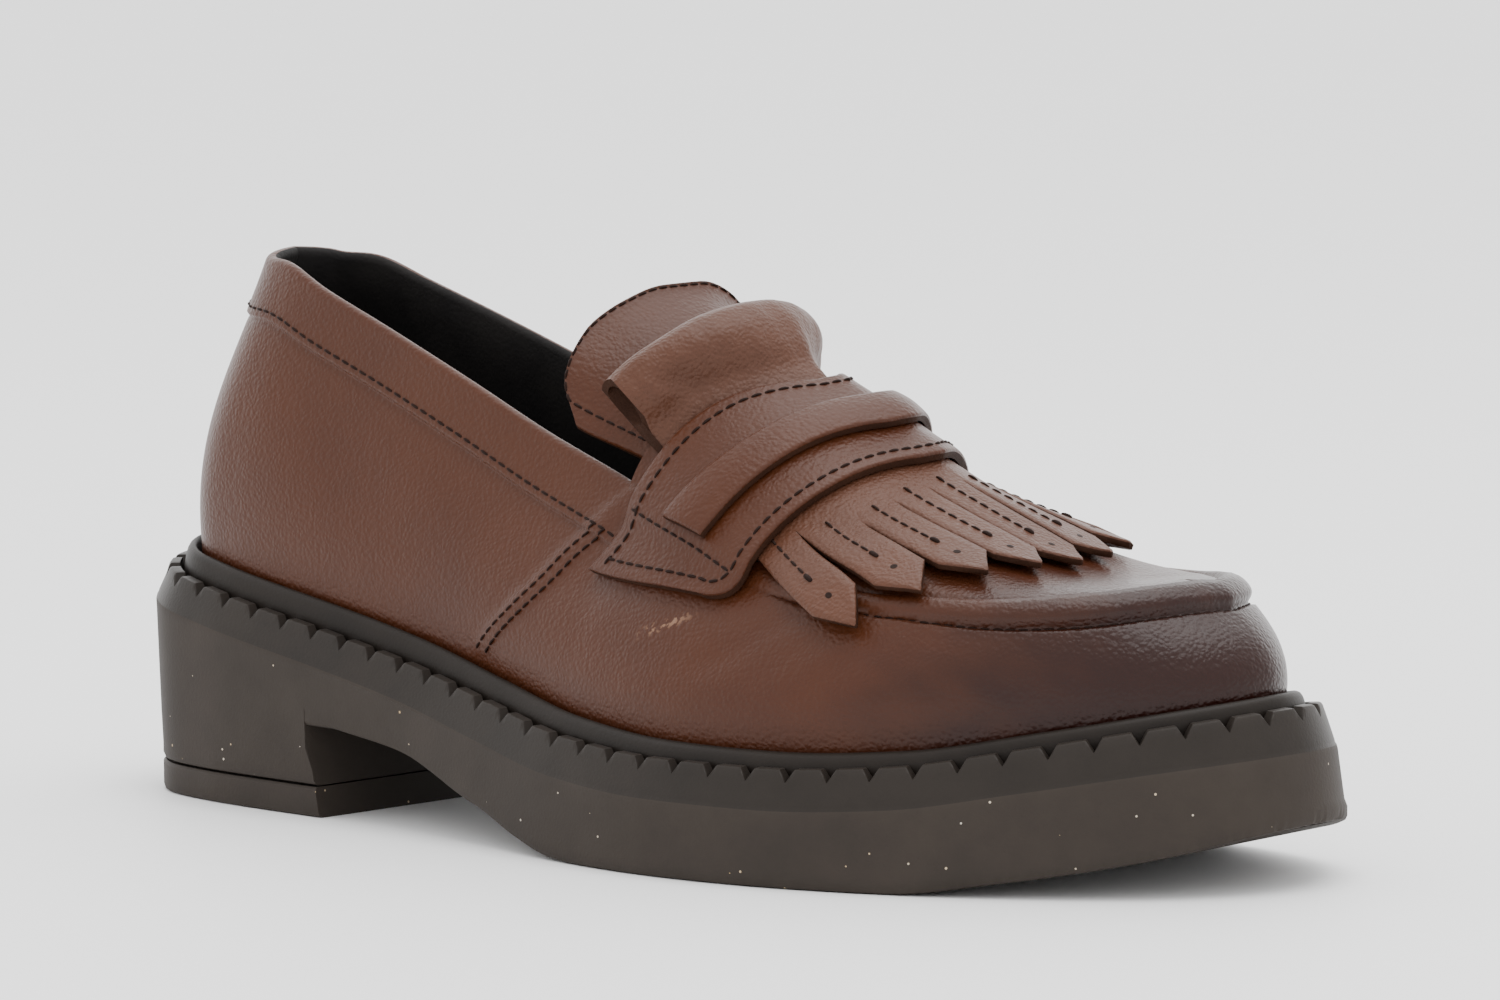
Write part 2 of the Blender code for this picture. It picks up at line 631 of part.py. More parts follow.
def upper_skin(mesh, places, throat, depth):
    """One side of the upper's leather: the outer face at depth 0, or the smooth lining face below it.

    Returns the ring of points at the foot, the ring at the wall's top and the row across the throat.
    """
    raised_share = 0.0 if depth else 1.0
    half = len(places[OUTER]) - 1
    count = 2 * half

    def foot(side, around):
        points = feather(side, around, depth)
        points[..., 2] = sole_top(points[..., 0]) + BED
        return points

    def band_foot(side, around):
        height = np.linalg.norm(wall_top(side, around) - feather(side, around), axis=-1)
        return 1 - band_width(around) / height

    rows = [mesh.add(round_the_shoe(places, foot))]
    for share in WALL_ROWS:
        rows.append(mesh.add(round_the_shoe(places, lambda side, around: lifted(
            wall, side, around, share * band_foot(side, around), -depth))))
    for share, step in BAND_ROWS:
        rows.append(mesh.add(round_the_shoe(places, lambda side, around: lifted(
            wall, side, around, 1 - (1 - share) * (1 - band_foot(side, around)),
            raised_share * step * band_step(around) - depth))))
    mesh.sheet(rows, closed=True)

    columns = np.arange(throat, half + 1)
    grids = {}
    for side in (OUTER, INNER):
        around = places[side][columns]
        length = np.linalg.norm(ridge(around) - wall_top(side, around), axis=-1)
        grid = [rows[-1][columns if side == OUTER else (count - columns) % count]]
        for distance, share, step in APRON_ROWS:
            start = distance / length
            points = lifted(apron, side, around, start + share * (1 - start),
                            raised_share * step * band_step(around) - depth)
            if side == OUTER:
                grid.append(mesh.add(points))
            elif share == 1.0:
                grid.append(grids[OUTER][-1])
            else:
                grid.append(np.append(mesh.add(points[:-1]), grids[OUTER][len(grid)][-1]))
        mesh.sheet(grid)
        grids[side] = grid
    across = [row[0] for row in grids[OUTER]] + [row[0] for row in grids[INNER]][-2::-1]
    return rows[0], rows[-1], across


def upper(finish):
    """One hollow shell of leather: wall, collar with its band, seam ridge and apron."""
    mesh = Mesh()
    places = {side: np.linspace(0, 1, UPPER_COLUMNS + 1) for side in (OUTER, INNER)}
    throat = math.ceil(THROAT * UPPER_COLUMNS)
    foot, top, across = upper_skin(mesh, places, throat, 0.0)
    lining_foot, lining_top, lining_across = upper_skin(mesh, places, throat, WALL)
    mesh.strip(foot, lining_foot, closed=True)
    collar = np.arange(-throat, throat + 1)
    mesh.strip(top[collar], lining_top[collar])
    mesh.strip(across, lining_across)
    return add_piece("upper", mesh, finish)


def hood_table(stations=64, steps_out=74):
    """The instep and forepart measured by distance from the ridge, as one grid of points and normals.

    Rows run from the throat to the toe and columns from the outer welt over the ridge to the inner one.
    Also returns how far the grid reaches to each side.
    """
    around = np.linspace(THROAT, 1, stations)[:, None]
    furthest = 0.5 * BALL_BREADTH + COLLAR_RISE
    reach = np.linspace(0, furthest, steps_out + 1)
    halves = {}
    for side in (OUTER, INNER):
        over = apron(side, around, np.linspace(1, 0, 33))
        down = wall(side, around, np.linspace(1, 0, 41)[1:])
        section = np.concatenate((over, down), axis=1)
        steps = np.linalg.norm(np.diff(section, axis=1), axis=-1)
        lengths = np.concatenate((np.zeros((stations, 1)), np.cumsum(steps, axis=1)), axis=1)
        halves[side] = np.array([[np.interp(reach, lengths[i], section[i, :, axis]) for axis in range(3)]
                                 for i in range(stations)]).transpose(0, 2, 1)
    grid = np.concatenate((halves[OUTER][:, :0:-1], halves[INNER]), axis=1)
    ahead, across = np.gradient(grid, axis=(0, 1))
    normal = np.cross(ahead, across)
    normal /= np.maximum(np.linalg.norm(normal, axis=-1, keepdims=True), 1e-9)
    return grid, normal, furthest


HOOD, HOOD_NORMAL, HOOD_REACH = hood_table()


def hood(around, distance, lift=0.0):
    """A point over the instep: its place round the shoe, its distance from the ridge and its lift."""
    around, distance, lift = np.broadcast_arrays(np.asarray(around, float), distance, lift)
    rows, columns = HOOD.shape[:2]
    row = np.clip((around - THROAT) / (1 - THROAT), 0, 1) * (rows - 1)
    column = np.clip(0.5 + 0.5 * distance / HOOD_REACH, 0, 1) * (columns - 1)
    i = np.minimum(row.astype(int), rows - 2)
    j = np.minimum(column.astype(int), columns - 2)
    u = (row - i)[..., None]
    v = (column - j)[..., None]

    def mix(table):
        return ((table[i, j] * (1 - v) + table[i, j + 1] * v) * (1 - u)
                + (table[i + 1, j] * (1 - v) + table[i + 1, j + 1] * v) * u)
    return mix(HOOD) + mix(HOOD_NORMAL) * lift[..., None]


RIDGE_PLACES = np.linspace(THROAT, 1, 200)
RIDGE_STEPS = np.linalg.norm(np.diff(ridge(RIDGE_PLACES), axis=0), axis=1)
RIDGE_LENGTHS = np.concatenate(([0.0], np.cumsum(RIDGE_STEPS)))


def over_instep(ahead, across, lift=0.0):
    """A point over the instep by its lengths: ahead of the throat, across from the centre line, lift."""
    return hood(np.interp(ahead, RIDGE_LENGTHS, RIDGE_PLACES), CENTRE_LINE + across, lift)


def fade(value, start, end):
    """A soft step from 0 at the start to 1 at the end."""
    share = np.clip((value - start) / (end - start), 0, 1)
    return share * share * (3 - 2 * share)


def tongue_face(rise, across):
    """The tongue's outer face: rise is 0 under the saddle and 1 at its top edge, across is -1 to 1."""
    rise, across = np.broadcast_arrays(np.asarray(rise, float), np.asarray(across, float))
    below = -WALL - TONGUE_CLEAR
    width = CENTRE_LINE + TONGUE_ROOT_WIDTH * across
    root = hood(np.full(across.shape, TONGUE_ROOT), width, below)
    throat = hood(np.full(across.shape, THROAT), width, below)
    ridge_point = ridge(np.array(THROAT))
    x = ridge_point[0] - TONGUE_BACK * smooth(TONGUE_TOP, "back", across, "across")
    y = ridge_point[1] + TONGUE_HALF_WIDTH * smooth(TONGUE_TOP, "swing", across, "across")
    z = ridge_point[2] + TONGUE_RISE - TONGUE_HALF_WIDTH * smooth(TONGUE_TOP, "drop", across, "across")
    top = np.stack((x, y, z), axis=-1)
    inside = np.clip(rise / TONGUE_INSIDE, 0, 1)[..., None]
    along = (throat - root) / np.linalg.norm(throat - root, axis=-1, keepdims=True)
    reach = np.linalg.norm(top - throat, axis=-1, keepdims=True)
    beyond = np.clip((rise - TONGUE_INSIDE) / (1 - TONGUE_INSIDE), 0, 1)
    arriving = (along + (1.0, 0.0, 0.0)) / 2
    outside = bezier(throat, throat + 0.35 * reach * along, top - 0.3 * reach * arriving, top, beyond)
    return np.where(inside < 1, root + (throat - root) * inside, outside)


def tongue(finish):
    """The leather tongue, held inside the upper at its foot and standing up over the throat."""
    mesh = Mesh()
    rise = np.array((0.0, 0.25, 0.4, 0.55, 0.7, 0.85, 1.0))[:, None]
    across = np.linspace(-1, 1, 17)[None, :]
    face = tongue_face(rise, across)
    outward = np.stack((0.45 + 0 * across, 0.9 * across, 0.8 + 0 * across), axis=-1)
    outward /= np.linalg.norm(outward, axis=-1, keepdims=True)
    mesh.slab(mesh.add(face), mesh.add(face - TONGUE_THICKNESS * outward))
    return add_piece("tongue", mesh, finish)


# How far the saddle's lines run back towards its corners: across is a share of the saddle's reach, and
# the others are shares of its width.
SADDLE_LINES = dict(
    across=(0.0, 0.3, 0.65, 0.85, 1.0),
    back=(0.0, 0.088, 0.12, 0.17, 0.25),
    band=(0.0, 0.03, 0.15, 0.2, 0.2),
    band_front=(0.0, 0.07, 0.16, 0.2, 0.2),
    front=(0.0, 0.05, 0.12, 0.12, 0.16),
)


def saddle_line(name, across):
    """Where a line of the saddle lies, ahead of the throat."""
    start = dict(back=SADDLE_BACK, band=SADDLE_BACK + SADDLE_BAND_BACK,
                 band_front=SADDLE_BACK + SADDLE_BAND_BACK + SADDLE_BAND_WIDTH,
                 front=SADDLE_BACK + SADDLE_WIDTH)[name]
    return start - SADDLE_WIDTH * smooth(SADDLE_LINES, name, np.abs(across) / SADDLE_REACH, "across")


def saddle_back(across):
    """Where the saddle's back edge lies, ahead of the throat."""
    return saddle_line("back", across)


def saddle_lift(across):
    """Underside of the saddle above the upper: over the kiltie, and lower at the wings."""
    on_kiltie = KILTIE_THICKNESS + LAYER_GAP
    return LAYER_GAP + on_kiltie * (1 - fade(np.abs(across), KILTIE_HALF_WIDTH + 1, KILTIE_HALF_WIDTH + 9))


def saddle_strap(finish):
    """The strap over the instep, with a rounded front corner on each wing."""
    mesh = Mesh()
    inner = SADDLE_REACH - SADDLE_TAPER - SADDLE_CORNER
    turn = np.radians((0, 30, 60, 85))
    half = np.concatenate((np.linspace(0, inner, 9)[:-1], inner + SADDLE_CORNER * np.sin(turn)))
    retreat = np.concatenate((np.zeros(8), SADDLE_CORNER * (1 - np.cos(turn))))
    across = np.concatenate((-half[:0:-1], half)) / half[-1]
    retreat = np.concatenate((retreat[:0:-1], retreat))
    along = np.linspace(0, 1, 5)[:, None]
    distance = across * (SADDLE_REACH - SADDLE_TAPER * along)
    ahead = saddle_back(distance) * (1 - along) + along * (saddle_line("front", distance) - retreat)
    under = saddle_lift(distance)
    top = mesh.add(over_instep(ahead, distance, under + SADDLE_THICKNESS))
    bottom = mesh.add(over_instep(ahead, distance, under))
    mesh.slab(top, bottom)
    return add_piece("saddle_strap", mesh, finish)


def saddle_band(finish):
    """The narrow band on top of the saddle."""
    mesh = Mesh()
    distance = np.linspace(-SADDLE_BAND_REACH, SADDLE_BAND_REACH, 21)[None, :]
    along = np.linspace(0, 1, 3)[:, None]
    ahead = saddle_line("band", distance) * (1 - along) + saddle_line("band_front", distance) * along
    under = saddle_lift(distance) + SADDLE_THICKNESS + LAYER_GAP + 0 * along
    top = mesh.add(over_instep(ahead, distance, under + SADDLE_BAND_THICKNESS))
    bottom = mesh.add(over_instep(ahead, distance, under))
    mesh.slab(top, bottom)
    return add_piece("saddle_band", mesh, finish)


# Rows of a tab from the slit to its corners: share of the way, and how far it has lifted
TAB_ROWS = ((0.3, 0.65), (0.65, 0.95), (1.0, 1.0))
# Rows of the sheet from the roll to the slits, as shares of the way
SHEET_ROWS = (0.0, 0.33, 0.67, 1.0)


# Where the slits start and how high the tips stand, from the middle of the fringe to its ends
FRINGE = dict(
    across=(0.0, 0.33, 0.56, 0.78, 0.9, 1.0),
    start=(0.95, 0.98, 1.0, 0.8, 0.76, 0.75),
    lift=(0.45, 0.6, 0.8, 1.0, 1.0, 1.0),
)


def slit_start(slit):
    """Where a slit starts, ahead of the throat: slits are numbered from the middle by halves."""
    return SLIT_START * smooth(FRINGE, "start", 2 * np.abs(slit) / TABS, "across")


def tab_lift(number):
    """How high a tab's tip stands above the upper."""
    return TAB_LIFT * smooth(FRINGE, "lift", 2 * np.abs(number) / TABS, "across")


def tab_tip(number):
    """Where a tab's tip lies: ahead of the throat, and across."""
    return TAB_REACH - TAB_SWEEP * (2 * number / (TABS - 1)) ** 2, TAB_TIP_PITCH * number


def tab_edge(number, side, share, lift_share):
    """A point on a tab's edge or centre line: side is -1, 0 or 1, share runs from the slit to the corner."""
    start = slit_start(number + side / 2)
    root = TAB_ROOT_PITCH * (number + side / 2)
    tip_ahead, tip_across = tab_tip(number)
    turn = -TAB_TURN * number
    half = side * (TAB_TIP_PITCH - TAB_SLIT) / 2
    corner_ahead = tip_ahead - TAB_POINT * math.cos(turn) + half * math.sin(turn)
    corner_across = tip_across + TAB_POINT * math.sin(turn) + half * math.cos(turn)
    lift = LAYER_GAP + (tab_lift(number) - LAYER_GAP) * lift_share
    return start + (corner_ahead - start) * share, root + (corner_across - root) * share, lift


def kiltie_fringe(finish):
    """One sheet of leather under the saddle, slit into tabs that end in points."""
    mesh = Mesh()
    numbers = np.arange(TABS) - (TABS - 1) / 2
    slits = np.linspace(-TABS / 2, TABS / 2, 2 * TABS + 1)
    faces = {}
    for layer, extra in (("top", KILTIE_THICKNESS), ("bottom", 0.0)):
        across = TAB_ROOT_PITCH * slits
        back = saddle_back(across) + TUCK + FRINGE_FROM_ROLL
        ends = slit_start(slits)
        rows = [mesh.add(over_instep(back + (ends - back) * share, across, LAYER_GAP + extra))
                for share in SHEET_ROWS]
        mesh.sheet(rows)
        tabs = []
        for index, number in enumerate(numbers):
            grid = [rows[-1][2 * index:2 * index + 3]]
            for share, lifting in TAB_ROWS:
                points = [over_instep(ahead, across, lift + extra) for ahead, across, lift in (
                    tab_edge(number, side, share, lifting) for side in (-1, 0, 1))]
                grid.append(mesh.add(points))
            tip = mesh.add([over_instep(*tab_tip(number), tab_lift(number) + extra)])[0]
            mesh.sheet(grid)
            mesh.face(grid[-1][0], grid[-1][1], tip)
            mesh.face(grid[-1][1], grid[-1][2], tip)
            tabs.append(([row[0] for row in grid] + [tip], [row[-1] for row in grid] + [tip]))
        faces[layer] = (rows, tabs)
    top, bottom = faces["top"], faces["bottom"]
    mesh.strip(top[0][0], bottom[0][0])
    for end in (0, -1):
        mesh.strip([row[end] for row in top[0]], [row[end] for row in bottom[0]])
    for upper_edges, lower_edges in zip(top[1], bottom[1]):
        for upper_edge, lower_edge in zip(upper_edges, lower_edges):
            mesh.strip(upper_edge, lower_edge)
    return add_piece("kiltie_fringe", mesh, finish)


# The fold of the roll, from the outer end to the inner one: back, swing and drop from the ridge at the
# throat, back and swing as shares of the roll's length and half width, drop as a share of its half width.
ROLL_FOLD = dict(
    across=(-1.0, -0.75, -0.5, -0.25, 0.0, 0.25, 0.5, 0.75, 1.0),
    back=(1.34, 1.14, 0.95, 0.83, 0.75, 0.76, 0.84, 1.0, 1.2),
    swing=(-1.0, -0.89, -0.68, -0.42, -0.1, 0.2, 0.47, 0.66, 0.74),
    drop=(0.05, -0.11, -0.25, -0.35, -0.39, -0.37, -0.29, -0.13, 0.06),
)
# Section of the roll: along runs from the saddle to the fold, and heights are in its thickness
ROLL_THICKNESS = 7.5
ROLL_OUTSIDE = ((0.25, 0.25), (0.46, 0.55), (0.68, 0.73), (0.86, 0.66), (0.97, 0.4), (1.0, 0.1),
                (0.96, -0.17), (0.84, -0.3), (0.6, -0.28), (0.3, -0.12))
ROLL_INSIDE = ((0.42, 0.27), (0.52, 0.39), (0.69, 0.52), (0.82, 0.46), (0.9, 0.3), (0.915, 0.1),
               (0.89, -0.04), (0.81, -0.11), (0.6, -0.1), (0.44, 0.04))


def roll_frame(across):
    """Root and fold of the roll at a place across it, with its upward direction."""
    distance = ROLL_HALF_WIDTH * across
    root = over_instep(saddle_back(distance) - ROLL_FROM_SADDLE, distance, GAP)
    throat = ridge(np.array(THROAT))
    back = ROLL_LENGTH * smooth(ROLL_FOLD, "back", across, "across")
    swing = ROLL_HALF_WIDTH * smooth(ROLL_FOLD, "swing", across, "across")
    drop = ROLL_HALF_WIDTH * smooth(ROLL_FOLD, "drop", across, "across")
    fold = throat + np.stack((-back, swing, -drop), axis=-1)
    return root, fold


def kiltie_roll(finish):
    """The top of the kiltie, folded back on itself behind the saddle as a flat hollow roll."""
    mesh = Mesh()
    across = np.linspace(-1, 1, 13)
    distance = ROLL_HALF_WIDTH * across
    root, fold = roll_frame(across)
    along = fold - root
    sideways = np.gradient((root + fold) / 2, axis=0)
    up = np.cross(along, sideways)
    outward = over_instep(saddle_back(distance) - ROLL_FROM_SADDLE, distance, 1.0) - root
    up *= np.sign(np.sum(up * outward, axis=-1, keepdims=True)) / np.linalg.norm(up, axis=-1, keepdims=True)

    def section(points):
        return [root + along * share + up * ROLL_THICKNESS * height for share, height in points]

    tucked = saddle_back(distance) + TUCK
    clear = saddle_back(distance) - ROLL_FROM_SADDLE
    rows = [over_instep(clear, distance, GAP), over_instep(tucked, distance, GAP),
            over_instep(tucked, distance, GAP + KILTIE_THICKNESS),
            over_instep(clear, distance, GAP + KILTIE_THICKNESS)] + section(ROLL_OUTSIDE)
    outside = [mesh.add(row) for row in rows]
    inside = [mesh.add(row) for row in section(ROLL_INSIDE)]
    mesh.sheet(outside + outside[:1])
    mesh.sheet(inside + inside[:1])
    for end in (0, -1):
        ring = [row[end] for row in outside]
        hole = [row[end] for row in inside]
        mesh.face(*ring[:4])
        mesh.strip([ring[0]] + ring[3:], [hole[-1], hole[0]] + hole, closed=True)
    return add_piece("kiltie_roll", mesh, finish)


def clear_scene():
    for old in list(bpy.data.objects):
        bpy.data.objects.remove(old, do_unlink=True)


def main():
    clear_scene()
    rubber = material("speckled_rubber", (0.075, 0.062, 0.052), 0.6)
    leather = material("brown_leather", (0.14, 0.053, 0.027), 0.38)
    lining = material("black_lining", (0.012, 0.011, 0.011), 0.7)
    unit_sole(rubber)
    heel_top_piece(rubber)
    storm_welt(rubber)
    insole(lining)
    upper(leather)
    tongue(leather)
    saddle_strap(leather)
    saddle_band(leather)
    kiltie_fringe(leather)
    kiltie_roll(leather)


main()
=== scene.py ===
# %% [markdown]
# # A kiltie loafer, dressed for its photograph
# This lesson dresses the plain solids of one right shoe. The frame holds the true sizes and places, so
# the first step loads it and keeps its box. Everything after that is drawn in millimetres, in the
# shoe's own frame: +X runs to the toe, +Y to the inner side and +Z up.

import math

import bmesh
import bpy
import numpy as np
from mathutils import Matrix, Vector


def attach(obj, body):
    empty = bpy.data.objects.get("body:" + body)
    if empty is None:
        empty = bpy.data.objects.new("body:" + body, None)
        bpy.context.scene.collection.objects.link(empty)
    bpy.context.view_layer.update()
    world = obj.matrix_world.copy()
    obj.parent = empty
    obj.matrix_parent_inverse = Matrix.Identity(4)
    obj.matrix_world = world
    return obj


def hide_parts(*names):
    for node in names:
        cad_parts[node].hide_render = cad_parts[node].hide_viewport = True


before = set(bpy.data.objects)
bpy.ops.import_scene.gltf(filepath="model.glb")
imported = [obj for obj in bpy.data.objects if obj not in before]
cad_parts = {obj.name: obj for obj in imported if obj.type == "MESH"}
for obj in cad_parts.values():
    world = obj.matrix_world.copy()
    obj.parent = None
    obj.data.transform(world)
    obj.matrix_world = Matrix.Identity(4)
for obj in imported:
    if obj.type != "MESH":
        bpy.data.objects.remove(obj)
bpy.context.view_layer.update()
print("solids in the frame:", sorted(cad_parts))

# %% [markdown]
# ## Camera
# The photograph was taken with a long lens from the outer side, a little above the floor. Its place was
# found by matching the even notches of the rim and the outline of the sole. The picture is 1500 pixels
# wide, so the focal length in pixels becomes a lens for a 36 mm sensor.

# %% Place the camera
AZIMUTH, ELEVATION, ROLL = (math.radians(angle) for angle in (39.85, 6.24, -0.51))
DISTANCE = 1.6712
FOCAL_PIXELS = 8680.2
PICTURE_WIDTH = 1500
SENSOR_WIDTH = 36.0
AIM = Vector((0.0987, -0.00777, 0.050))
AIM_RIGHT, AIM_UP = 0.00937, 0.01489
back = Vector((math.sin(AZIMUTH) * math.cos(ELEVATION), -math.cos(AZIMUTH) * math.cos(ELEVATION),
               math.sin(ELEVATION)))
right = Vector((math.cos(AZIMUTH), math.sin(AZIMUTH), 0.0))
up = back.cross(right)
place = AIM + right * AIM_RIGHT + up * AIM_UP + back * DISTANCE
turned_right = right * math.cos(ROLL) + up * math.sin(ROLL)
turned_up = up * math.cos(ROLL) - right * math.sin(ROLL)
lens_data = bpy.data.cameras.new("photo_camera")
lens_data.sensor_width = SENSOR_WIDTH
lens_data.lens = FOCAL_PIXELS * SENSOR_WIDTH / PICTURE_WIDTH
camera = bpy.data.objects.new("photo_camera", lens_data)
turn = Matrix((turned_right, turned_up, back)).transposed().to_4x4()
camera.matrix_world = Matrix.Translation(place) @ turn
bpy.context.collection.objects.link(camera)
bpy.context.scene.camera = camera
print("lens", round(lens_data.lens, 1), "mm")

# %% [markdown]
# ## The shoe's own measures
# A shoe is drawn round its last, so its places are given by a side and a share of the way round the
# sole: 0 at the back of the heel and 1 at the tip of the toe. Each table below has named columns, and
# a curve runs through its rows. The same values shaped the solids, which keeps both models together.

# %% Sizes in millimetres
METRES = 0.001
GAP = 0.3                   # between two curved pieces that meet
LAYER_GAP = 0.5             # between two layers of leather over the curved instep

# Plan of the sole
SOLE_LENGTH = 270.0
BALL_BREADTH = 95.0
HEEL_BREADTH = 61.0
HEEL_BACK = -39.5           # X of the back of the heel
HEEL_TURN = math.radians(4.5)

# Heights of the sole
FOREFOOT_THICKNESS = 19.4
HEEL_RISE = 23.4            # top of the sole at the heel above the forefoot
TOE_RISE = 11.6             # top of the sole at the toe above the forefoot
TOE_SPRING = 12.0           # tread at the toe above the floor
WAIST_LIFT = 18.0           # tread above the floor just before the heel
TOP_PIECE_THICKNESS = 6.0
BREAST_FROM_BACK = 66.0     # front face of the heel
BREAST_RAKE = 3.5           # that face leans forward by this, top to floor

# Side of the sole
TOOTH_PITCH = 8.5
TOOTH_HEIGHT = 2.5
TOOTH_LEAN = 0.9
TOOTH_DEPTH = 3.2
NOTCH_SHARE = 0.39          # of the pitch, open at the top
BAND_HEIGHT = 5.0
BAND_LEAN = 1.5
BAND_STEP = 0.5
FLARE = 4.0                 # tread beyond the top edge, at the toe

# Welt and wall
WELT_HEIGHT = 7.2
WELT_FROM_TEETH = 0.7
FEATHER_INSET = 8.0         # from the top edge of the sole to the upper
WALL = 2.0
BED = 0.45                  # between the sole's curved top and what lies on it

# Upper
COLLAR_RISE = 58.5          # back of the collar above the welt
INSTEP_CROWN = 19.5         # ridge above the seam line, at the instep
COLLAR_BAND = 12.5          # width of the raised band along the collar
COLLAR_BAND_STEP = 0.8

# Tongue
TONGUE_THICKNESS = 2.0
TONGUE_RISE = 16.0          # top of the tongue above the ridge at the throat
TONGUE_BACK = 35.0          # top of the tongue behind the ridge at the throat
TONGUE_HALF_WIDTH = 24.0
TONGUE_ROOT = 0.53          # the tongue starts here, inside the upper under the saddle
TONGUE_ROOT_WIDTH = 32.5    # to each side of the centre line, round the instep
TONGUE_INSIDE = 0.25        # share of its length that the upper covers
TONGUE_CLEAR = 1.1          # between the upper's lining and the tongue

# Saddle strap, its band and the kiltie. Places ahead are measured along the ridge from the throat, and
# distances across are measured round the instep from its centre line.
CENTRE_LINE = -4.7          # from the ridge, halfway between the two seams
SADDLE_BACK = 7.8
SADDLE_WIDTH = 28.7
SADDLE_REACH = 57.0         # to each side, at the back corner
SADDLE_TAPER = 7.5          # less at the front corner
SADDLE_CORNER = 9.0
SADDLE_THICKNESS = 2.0
SADDLE_BAND_BACK = 10.0     # from the saddle's back edge
SADDLE_BAND_WIDTH = 9.2
SADDLE_BAND_REACH = 40.5
SADDLE_BAND_THICKNESS = 1.8
KILTIE_THICKNESS = 1.5
KILTIE_HALF_WIDTH = 38.5
TUCK = 3.0                  # of the roll under the saddle
FRINGE_FROM_ROLL = 1.0
TABS = 9
TAB_ROOT_PITCH = 8.4
TAB_TIP_PITCH = 10.6
TAB_SLIT = 0.9              # gap between two tabs at their corners
TAB_POINT = 6.2             # length of the pointed end
TAB_REACH = 76.0            # tip of the middle tab
TAB_SWEEP = 16.6            # the outermost tip is this much further back
TAB_TURN = math.radians(6.5)  # each tab's end is turned by this from its neighbour's
SLIT_START = 44.0           # of the middle slits
TAB_LIFT = 2.6              # of the outermost tips above the upper
ROLL_HALF_WIDTH = 31.0
ROLL_LENGTH = 19.0
ROLL_FROM_SADDLE = 1.2      # it starts to rise this far behind the saddle

OUTER, INNER = -1, 1

print("sole", SOLE_LENGTH, "mm long, teeth every", TOOTH_PITCH, "mm")

# %% Tables of the sole
# Outline beyond the heel. along is a share of the length, the breadths are shares of the ball breadth.
OUTLINE = dict(
    along=(0.325, 0.417, 0.508, 0.601, 0.695, 0.786, 0.871, 0.949, 0.987),
    outer=(0.397, 0.454, 0.519, 0.554, 0.536, 0.464, 0.353, 0.202, 0.062),
    inner=(0.308, 0.332, 0.377, 0.432, 0.457, 0.448, 0.407, 0.319, 0.205),
)
TOE_SWING = 0.08            # of the ball breadth, towards the inner side

# Top of the sole along the length, as shares of the heel rise and the toe rise
TOP_LINE = dict(
    along=(0.0, 0.03, 0.092, 0.14, 0.232, 0.325, 0.417, 0.509, 0.601, 0.694, 0.786, 0.871, 0.948, 1.0),
    heel=(1.05, 1.0, 0.893, 0.803, 0.637, 0.453, 0.244, 0.068, 0.004, 0.0, 0.0, 0.0, 0.0, 0.0),
    toe=(0.0, 0.0, 0.0, 0.0, 0.0, 0.0, 0.0, 0.0, 0.0, 0.0, 0.113, 0.452, 0.79, 1.0),
)
# Tread before the heel's front face, as shares of the waist lift and the toe spring
TREAD_LINE = dict(
    along=(0.25, 0.325, 0.399, 0.424, 0.461, 0.509, 0.535, 0.786, 0.86, 0.948, 1.0),
    waist=(1.0, 0.844, 0.483, 0.378, 0.183, 0.017, 0.0, 0.0, 0.0, 0.0, 0.0),
    toe=(0.0, 0.0, 0.0, 0.0, 0.0, 0.0, 0.0, 0.0, 0.225, 0.617, 1.0),
)
# Side of the sole round the shoe, as shares of the flare, band height, welt height and feather inset
SIDE = dict(
    around=(0.0, 0.25, 0.45, 0.65, 0.85, 1.0),
    flare=(0.25, 0.3, 0.5, 0.65, 0.9, 1.0),
    band=(0.8, 0.85, 0.95, 1.0, 1.05, 1.1),
    welt=(1.0, 0.97, 0.85, 0.7, 0.72, 0.78),
    feather=(0.91, 0.93, 1.0, 1.0, 0.93, 0.91),
)
print("rows of the outline:", len(OUTLINE["along"]))

# %% Tables of the upper
# Top of the upper's wall: the collar as far as the throat, then the apron seam to the toe.
# along is a share of the length, outer and inner of the ball breadth, and rise of the collar rise.
# lean turns the top of the wall inwards, and swell its foot outwards, in degrees.
THROAT = 0.475
WALL_TOP = dict(
    around=(0.0, 0.075, 0.15, 0.2, 0.26, 0.33, 0.41, 0.475, 0.5, 0.54,
            0.58, 0.64, 0.7, 0.76, 0.82, 0.88, 0.94, 1.0),
    along=(0.092, 0.108, 0.146, 0.186, 0.251, 0.332, 0.421, 0.498, 0.533, 0.583,
           0.631, 0.694, 0.756, 0.812, 0.855, 0.887, 0.908, 0.918),
    outer=(0.0, 0.113, 0.163, 0.189, 0.205, 0.221, 0.232, 0.247, 0.279, 0.316,
           0.332, 0.337, 0.311, 0.263, 0.2, 0.116, 0.0, -0.105),
    inner=(0.0, 0.095, 0.126, 0.14, 0.158, 0.179, 0.195, 0.21, 0.247, 0.289,
           0.326, 0.358, 0.379, 0.379, 0.342, 0.274, 0.189, 0.105),
    rise=(1.0, 1.0, 1.024, 0.993, 0.933, 0.855, 0.776, 0.718, 0.668, 0.602,
          0.542, 0.496, 0.48, 0.451, 0.41, 0.372, 0.345, 0.325),
    lean=(18.0, 19.0, 16.0, 11.0, 8.0, 8.0, 12.0, 22.0, 28.0, 34.0,
          38.0, 40.0, 40.0, 42.0, 45.0, 48.0, 50.0, 50.0),
    swell=(5.0, 5.0, 5.0, 6.0, 6.0, 7.0, 8.0, 9.0, 10.0, 11.0,
           12.0, 12.0, 11.0, 9.0, 7.0, 6.0, 6.0, 6.0),
)
